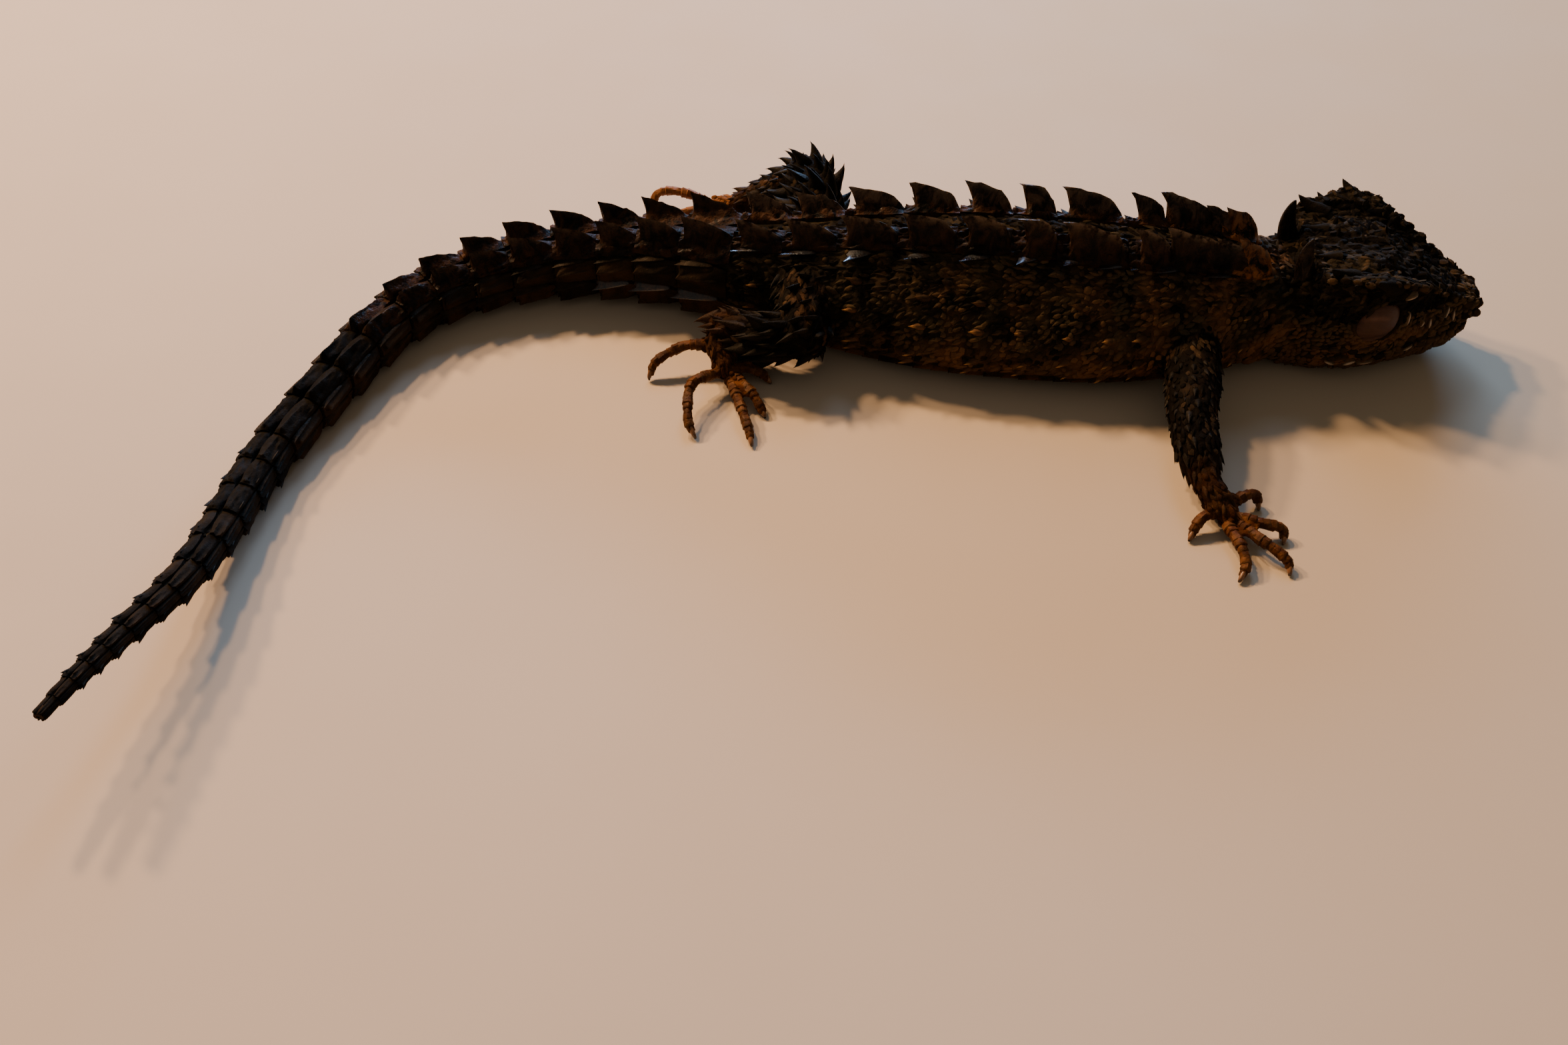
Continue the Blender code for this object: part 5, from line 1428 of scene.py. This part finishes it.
def lip_scales():
    """Rows of larger scales along the lips and round the edge of the casque."""
    for side in (1, -1):
        for x in np.arange(3.5, 22.5, 1.35):
            _, edge_w, edge_z, _, _, lip_w, lip_z = curve(HEAD_PROFILE, x)[0][:7]
            for out, height, long, wide in ((lip_w + 0.4, lip_z + 0.75, 1.45, 1.15),
                                            (lip_w + 0.2, lip_z - 0.75, 1.5, 1.0),
                                            (edge_w + 0.2, edge_z - 0.1, 1.2, 0.8)):
                if height < lip_z and x > 20.5:
                    continue
                on, normal = on_skin(head_point(x + DRAW.uniform(-0.1, 0.1), side * out, height))
                if eye_distance(on)[0] < 1.45:
                    continue
                size = np.array((long, wide, 0.45)) * (0.85 + 0.3 * DRAW.random())
                head_scale(horns, x, side, on, normal, size, DRAW.uniform(0.25, 0.9), 0.08)


def snout_scales():
    """Rounded scales round the nostrils and over the tip of the snout."""
    for x, out, height, size in SNOUT_SCALES:
        for side in (1, -1):
            on, normal = on_skin(head_point(x, side * out, height))
            head_scale(horns, x, side, on, normal, (1.1 * size, 0.9 * size, 0.75 * size),
                       DRAW.uniform(0.2, 0.7), 0.1)


def pale_ridge_highlights():
    """Pale ridges over the brow and along the lips, partly their own pale colour and partly painted
    highlight.
    """
    for x, out, height, long, wide, lie in PALE_RIDGES:
        for side in (1, -1):
            on, normal = on_skin(head_point(x, side * out, height))
            head_scale(pale, x, side, on, normal, (long, wide, 0.9), 0.9, 0.1, lie)


head_spikes()
nape_horns()
lip_scales()
snout_scales()
pale_ridge_highlights()

# digits and claws

digits, claws = Coat(), Coat()


def rings_across(path, thick, sides, flat=1.0):
    """Rings of points that stand across a path, kept above the floor."""
    ahead = unit(np.gradient(path, axis=0))
    across = unit(np.cross(ahead, (0, 0, 1)))
    up = np.cross(across, ahead)
    turn = np.linspace(0, 2 * math.pi, sides, endpoint=False)
    circle = across[:, None] * flat * np.cos(turn)[None, :, None] + up[:, None] * np.sin(turn)[None, :, None]
    rings = path[:, None] + circle * thick[..., None]
    rings[..., 2] = np.maximum(rings[..., 2], 0.03)
    return rings


def digit_rings(number, name, path, steps, digit_end):
    """Ringed lengths of one digit with its knobbed joints."""
    radius = np.interp(steps, [0, digit_end * 0.5, digit_end, steps[-1]], [0.70, 0.64, 0.55, 0.2])
    turn = np.linspace(0, 2 * math.pi, 14, endpoint=False)
    for k, at in enumerate(np.arange(0.1, digit_end, 0.74)):
        ends = at + np.array((-0.1, 0.12, 0.45, 0.74, 0.86))
        swell = np.array((0.87, 0.95, 0.99, 1.07, 0.92)) * (1 + 0.10 * math.cos(at * 2.3 + number))
        bumps = 1 + 0.07 * np.cos(turn * 5 + k * 1.3 + number)
        thick = (np.interp(ends, steps, radius) * swell)[:, None] * bumps
        centre = np.stack([np.interp(ends, steps, path[:, i]) for i in range(3)], 1)
        rings = rings_across(centre, thick, 14)
        points, faces, _ = fan_solid(list(rings), rings[-1].mean(0))
        tip = np.concatenate([np.repeat((0.0, 0.2, 0.5, 1.0, 0.6), 14), [0.4, 0]])
        uv = atlas(number + FIRST_LIMB, at / steps[-1], 0.0)
        # painted light: the far hind digits get full warm, which paints them the lit amber
        digits.add(points, faces[:, ::-1], uv, tone=DRAW.random(),
                   warm=1.0 if name == "leg_left" else 0.2, tip=tip,
                   foot=(0.72 if name.startswith("leg") else 0.8) + 0.2 * DRAW.random())


def claw(number, start, end, ahead):
    """Short hooked claw."""
    share = np.linspace(0, 1, 8)
    arch = (ahead * 0.7 + np.array((0, 0, 0.25))) * (np.sin(math.pi * share ** 0.8) * 0.75)[:, None]
    path = start + (end - start) * share[:, None] + arch
    thick = 0.44 * (1 - share) ** 0.7 + 0.03
    rings = rings_across(path, thick[:, None], 10, flat=0.75)
    points, faces, _ = fan_solid(list(rings[:-1]), end)
    tip = np.concatenate([np.repeat(share[:-1], 10), [1, 0]])
    claws.add(points, faces[:, ::-1], atlas(number + FIRST_LIMB, 0.9, 0.0), tip=tip, foot=1.0)


for number, (name, part, line) in enumerate(PARTS):
    if part not in LIMB_KINDS:
        path = centre_line(line, np.linspace(0, len(line) - 1, 91))[:, :3]
        steps = np.concatenate([[0], np.cumsum(np.linalg.norm(np.diff(path, axis=0), axis=1))])
        last = int(90 * 0.80)
        digit_rings(number, name, path, steps, steps[last])
        claw(number, path[last], path[-1], unit((path[last] - path[last - 8])[None])[0])

# small scales over the rest of the skin

grains, leaves, wrinkles = Coat(), Coat(), Coat()
SEED_COUNT = 190000
points, normals = seeds(SEED_COUNT)
region, along, angle, back, s = locate(points)
kind = kind_of(region)
spacing = np.select([kind == BODY, kind == HEAD, (kind == UPPER) | (kind == LOWER)], [0.64, 0.56, 0.66], 0.60)
on_tail = (kind == BODY) & (s < 0)
spacing = spacing * np.where(on_tail, np.clip(curve(BODY_PROFILE, s)[:, 0] / 5.0, 0.5, 1), 1)
blocked = (points[:, 2] < 0.12) | (kind == DIGIT)
blocked |= (kind == BODY) & (s < -8) & (RNG.random(len(points)) < 0.6)
blocked |= (kind == BODY) & (s > -8) & (s < 56) & (angle < -0.5) & (angle > -2.64)
blocked |= eye_distance(points) < 1.5
blocked |= mouth_distance(points) < 1.1
blocked |= s - HEAD_BACK > 25.7
tree = tree_of(points)
for place, radius in TAKEN:
    for _, i, _ in tree.find_range(place, radius):
        blocked[i] = True


def limb_thorns():
    """Indices of the seeds that carry the thorn scales of the limbs, which are put there."""
    upright = (kind == UPPER) | (kind == LOWER)
    at = thin(points, np.where(kind == LOWER, 1.5, 1.6), blocked | ~upright)
    size = np.array([1.5, 1.05, 0.8]) * (0.6 + 0.75 * RNG.random((len(at), 1)) ** 1.5)
    hind = np.isin(region[at], [FIRST_LIMB + i for i, p in enumerate(PARTS) if p[0].startswith("leg")])
    knee = region[at] == region_of("leg_left", "upper")
    thigh = region[at] == region_of("leg_right", "upper")
    shin = region[at] == region_of("leg_right", "lower")
    size = size * np.where(hind, 1.1, 0.8)[:, None]
    size[knee] *= (1.1, 1.15, 2.1)
    size[shin] *= (1.5, 1.05, 1.35)
    size[thigh] *= (0.95, 0.62, 1.1)
    size[~hind, 2] *= 0.65
    size[points[at, 2] < 1.5] *= 0.5
    lie = back[at].copy()
    lie[knee] = 0.35 * lie[knee] + (-1.0, 0.15, 0.25)
    lie[thigh] = 0.35 * lie[thigh] + (-0.9, -0.15, 0.0)
    lie[shin] = 0.6 * lie[shin] + (-0.7, 0.0, 0.0)
    jitter = 0.5 * (RNG.random((len(at), 3)) - 0.5)
    cones.scatter(THORN, points[at], lie + jitter, normals[at], size, atlas(region[at], along[at], angle[at]),
                  0.12 * RNG.random(len(at)) ** 2, warmth(points[at], kind[at], s[at]) * 0.3,
                  amber(kind[at], along[at]))
    return at


def small_scales():
    """Grains and keeled scales on the seeds that are left, with wrinkles on the crown."""
    warm, foot = warmth(points, kind, s), amber(kind, along)
    # painted light: the far hind sole gets full warm and the lit amber
    far_foot = region == region_of("leg_left", "sole")
    warm[far_foot] = 1.0
    foot[far_foot] = np.maximum(foot[far_foot], 0.7)
    crown = (kind == HEAD) & (points[:, 2] > 9.0)
    limb = (kind == UPPER) | (kind == LOWER)
    tone = 0.5 + 0.7 * noise(points * 0.8, 31) + 0.5 * (RNG.random(len(points)) - 0.5)
    # painted light: the head's sides below 9.5 mm get a much higher tone than its crown, standing in for
    # light on the sides
    cheek = np.where(points[:, 2] > 9.5, -0.3, 0.85)
    tone = tone + np.select([kind == BODY, kind == HEAD], [0.2, cheek], -0.5)
    # painted shade: the scales along the top of the back are darkened
    tone = tone - (kind == BODY) * 0.5 * smooth(0.55, 0.3, abs(angle - math.pi / 2))
    tone = np.clip(tone - (kind == BODY) * 0.3 * smooth(32, 8, s), 0, 1)
    flank = ((kind == BODY) & (s > 2) | (kind == HEAD)) * smooth(15, 11, points[:, 2])
    droop = np.array((0, 0, -1.0)) * (0.6 * flank)[:, None]
    lie = unit(back + droop + np.where(crown, 2.1, 0.9)[:, None] * (RNG.random((len(points), 3)) - 0.5))
    share = np.select([kind == BODY, kind == HEAD, limb], [0.82, 0.5, 0.85], 0.6)
    pointed = RNG.random(len(points)) < share
    pointed &= ~((kind == HEAD) & (s > HEAD_BACK + 20.5))
    stretch = 0.75 + 1.1 * RNG.random(len(points)) ** 1.5
    stretch = np.where(crown, 1.0 + 1.1 * RNG.random(len(points)), stretch)
    size = np.stack([spacing * 1.45 * stretch, spacing * 1.2 / np.sqrt(stretch),
                     spacing * (0.7 + 0.7 * RNG.random(len(points)))], 1)
    size = size * np.where(RNG.random(len(points)) < 0.08, 1.4, 1.0)[:, None]
    size[:, 2] *= np.select([crown, limb], [0.3, 0.6], 1.0)
    uv = atlas(region, along, angle)
    for choose, shape, coat in ((~pointed & ~crown, GRANULE, grains), (pointed & ~crown, KEELED, leaves),
                                (~pointed & crown, GRANULE, wrinkles), (pointed & crown, KEELED, wrinkles)):
        i = np.flatnonzero(choose)
        coat.scatter(shape, points[i], lie[i], normals[i], size[i], uv[i], tone[i], warm[i], foot[i])


for i in limb_thorns():
    for _, j, _ in tree.find_range(points[i], 0.62):
        blocked[j] = True
keep = thin(points, spacing, blocked)
points, normals, region, along = (values[keep] for values in (points, normals, region, along))
angle, back, s, kind, spacing = (values[keep] for values in (angle, back, s, kind, spacing))
small_scales()

for coat, name, material, slot, sharp in (
        (pale, "pale_ridge_highlights", RIDGE, "dark_scales", 45), (fins, "fins", FINS, "horn", 48),
        (blades, "row_thorns", THORN_HORN, "horn", 60), (plates, "plates", PLATES, "dark_scales", 48),
        (horns, "head_spikes", CROWN, "dark_scales", 45), (nape, "nape_horns", FINS, "horn", 60),
        (digits, "digit_rings", FEET, "amber_feet", 45), (claws, "claws", CLAWS, "horn", 60),
        (grains, "small_scales", SCALES, "dark_scales", 50),
        (wrinkles, "crown_scales", CROWN, "dark_scales", 50),
        (leaves, "keeled_scales", SCALES, "dark_scales", 40),
        (cones, "thorn_scales", THORNS, "dark_scales", 50)):
    coat.build(name, material, slot, sharp)

# closed eyes


def eye_lid(name, side):
    """Lid that bulges from the orbit, drawn out to a point below and behind."""
    x, out, height = EYE_CENTRE
    centre = head_point(x, side * (out + 0.1), height - 0.1)[0]
    u, v = np.meshgrid(np.linspace(0, math.pi, 41)[1:-1], np.linspace(0, 2 * math.pi, 64, endpoint=False),
                       indexing="ij")
    ball = np.stack([np.sin(u) * np.cos(v), np.cos(u) * side * -1, np.sin(u) * np.sin(v)], -1)
    behind = np.clip(-ball[..., 0], 0, 1) * np.clip(-ball[..., 2] + 0.25, 0, 1)
    ball = ball * (1 + 0.30 * behind[..., None] * np.array((1, 0, 1)))
    waves = np.sin(ball[..., 2] * 26 + 5 * ball[..., 0] + 2 * np.sin(ball[..., 0] * 5))
    fold = 0.016 * waves * np.clip(-ball[..., 2] + 0.15, 0, 1)
    fold = fold - 0.05 * np.exp(-((ball[..., 2] + 0.5 + 0.25 * ball[..., 0] ** 2) / 0.05) ** 2)
    ball = ball * (1 + fold[..., None])
    lid = ball * (np.array(EYE_SIZE) * (1.26, 1.24, 1.52))
    c, t = eye_turn(side)
    turned = np.stack([lid[..., 0] * c - lid[..., 1] * t, lid[..., 0] * t + lid[..., 1] * c, lid[..., 2]], -1)
    points, faces = lofted(turned + centre)
    # painted highlight: a pale streak on the lid's upper curve; painted shade: the fold grooves lower the
    # tone
    streak = np.exp(-((ball[..., 2] - 0.42 + 0.35 * (ball[..., 0] + 0.3) ** 2) / 0.07) ** 2)
    tone = 0.5 + 0.5 * streak * smooth(0.3, -0.1, ball[..., 0]) + 5 * fold
    obj = make_object(name + "_lid", points, [f[::-1] for f in faces] if side > 0 else faces,
                      {"tone": tone.ravel()}, None, LIDS)
    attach(obj, "root")
    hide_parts(name)


eye_lid("eye_left", 1)
eye_lid("eye_right", -1)


# floor, light and camera

floor_mesh = bpy.data.meshes.new("floor")
floor_mesh.from_pydata([(-1.5, -1.2, 0), (1.5, -1.2, 0), (1.5, 1.8, 0), (-1.5, 1.8, 0)], [], [(0, 1, 2, 3)])
floor_mesh.materials.append(floor_material())
floor = bpy.data.objects.new("floor", floor_mesh)
bpy.context.scene.collection.objects.link(floor)

LIGHT_DISTANCE = 0.72
WARM_LAMP, WARM_ROOM = (1.0, 0.62, 0.33), (1.0, 0.88, 0.74)
COOL_WINDOW, COOL_SKY = (0.38, 0.60, 1.0), (0.32, 0.58, 1.0)
# degrees to the right from straight behind the animal, degrees of rise, size, watts and colour
LIGHTS = {
    "lamp_a": (-29, 47, (0.05, 0.05), 3.1, WARM_LAMP),
    "lamp_b": (-41, 41, (0.05, 0.05), 3.3, WARM_LAMP),
    "lamp_c": (-55, 36, (0.05, 0.05), 3.6, WARM_LAMP),
    "window": (5, 42, (0.20, 0.30), 1.7, COOL_WINDOW),
    "low_window": (8, 16, (0.60, 0.10), 8.0, COOL_SKY),
}
for name, (azimuth, elevation, size, watts, colour) in LIGHTS.items():
    light = bpy.data.lights.new(name, "AREA")
    light.shape, light.size, light.size_y, light.energy, light.color = "RECTANGLE", *size, watts, colour
    turn, rise = math.radians(azimuth), math.radians(elevation)
    way = Vector((math.sin(turn) * math.cos(rise), math.cos(turn) * math.cos(rise), math.sin(rise)))
    obj = bpy.data.objects.new(name, light)
    obj.location = way * LIGHT_DISTANCE
    obj.rotation_euler = (-way).to_track_quat("-Z", "Y").to_euler()
    bpy.context.scene.collection.objects.link(obj)

world = bpy.data.worlds.new("studio")
bpy.context.scene.world = world
world.use_nodes = True
sky = world.node_tree.nodes["Background"]
sky.inputs["Color"].default_value = (*WARM_ROOM, 1)
sky.inputs["Strength"].default_value = 0.17

camera_data = bpy.data.cameras.new("camera")
camera_data.lens = 36.906
camera_data.sensor_width = 36
camera_data.clip_start = 0.01
camera = bpy.data.objects.new("camera", camera_data)
camera.location = (-0.0086, -0.1413, 0.132494)
camera.rotation_euler = (math.radians(44), 0, 0)
bpy.context.scene.collection.objects.link(camera)
bpy.context.scene.camera = camera
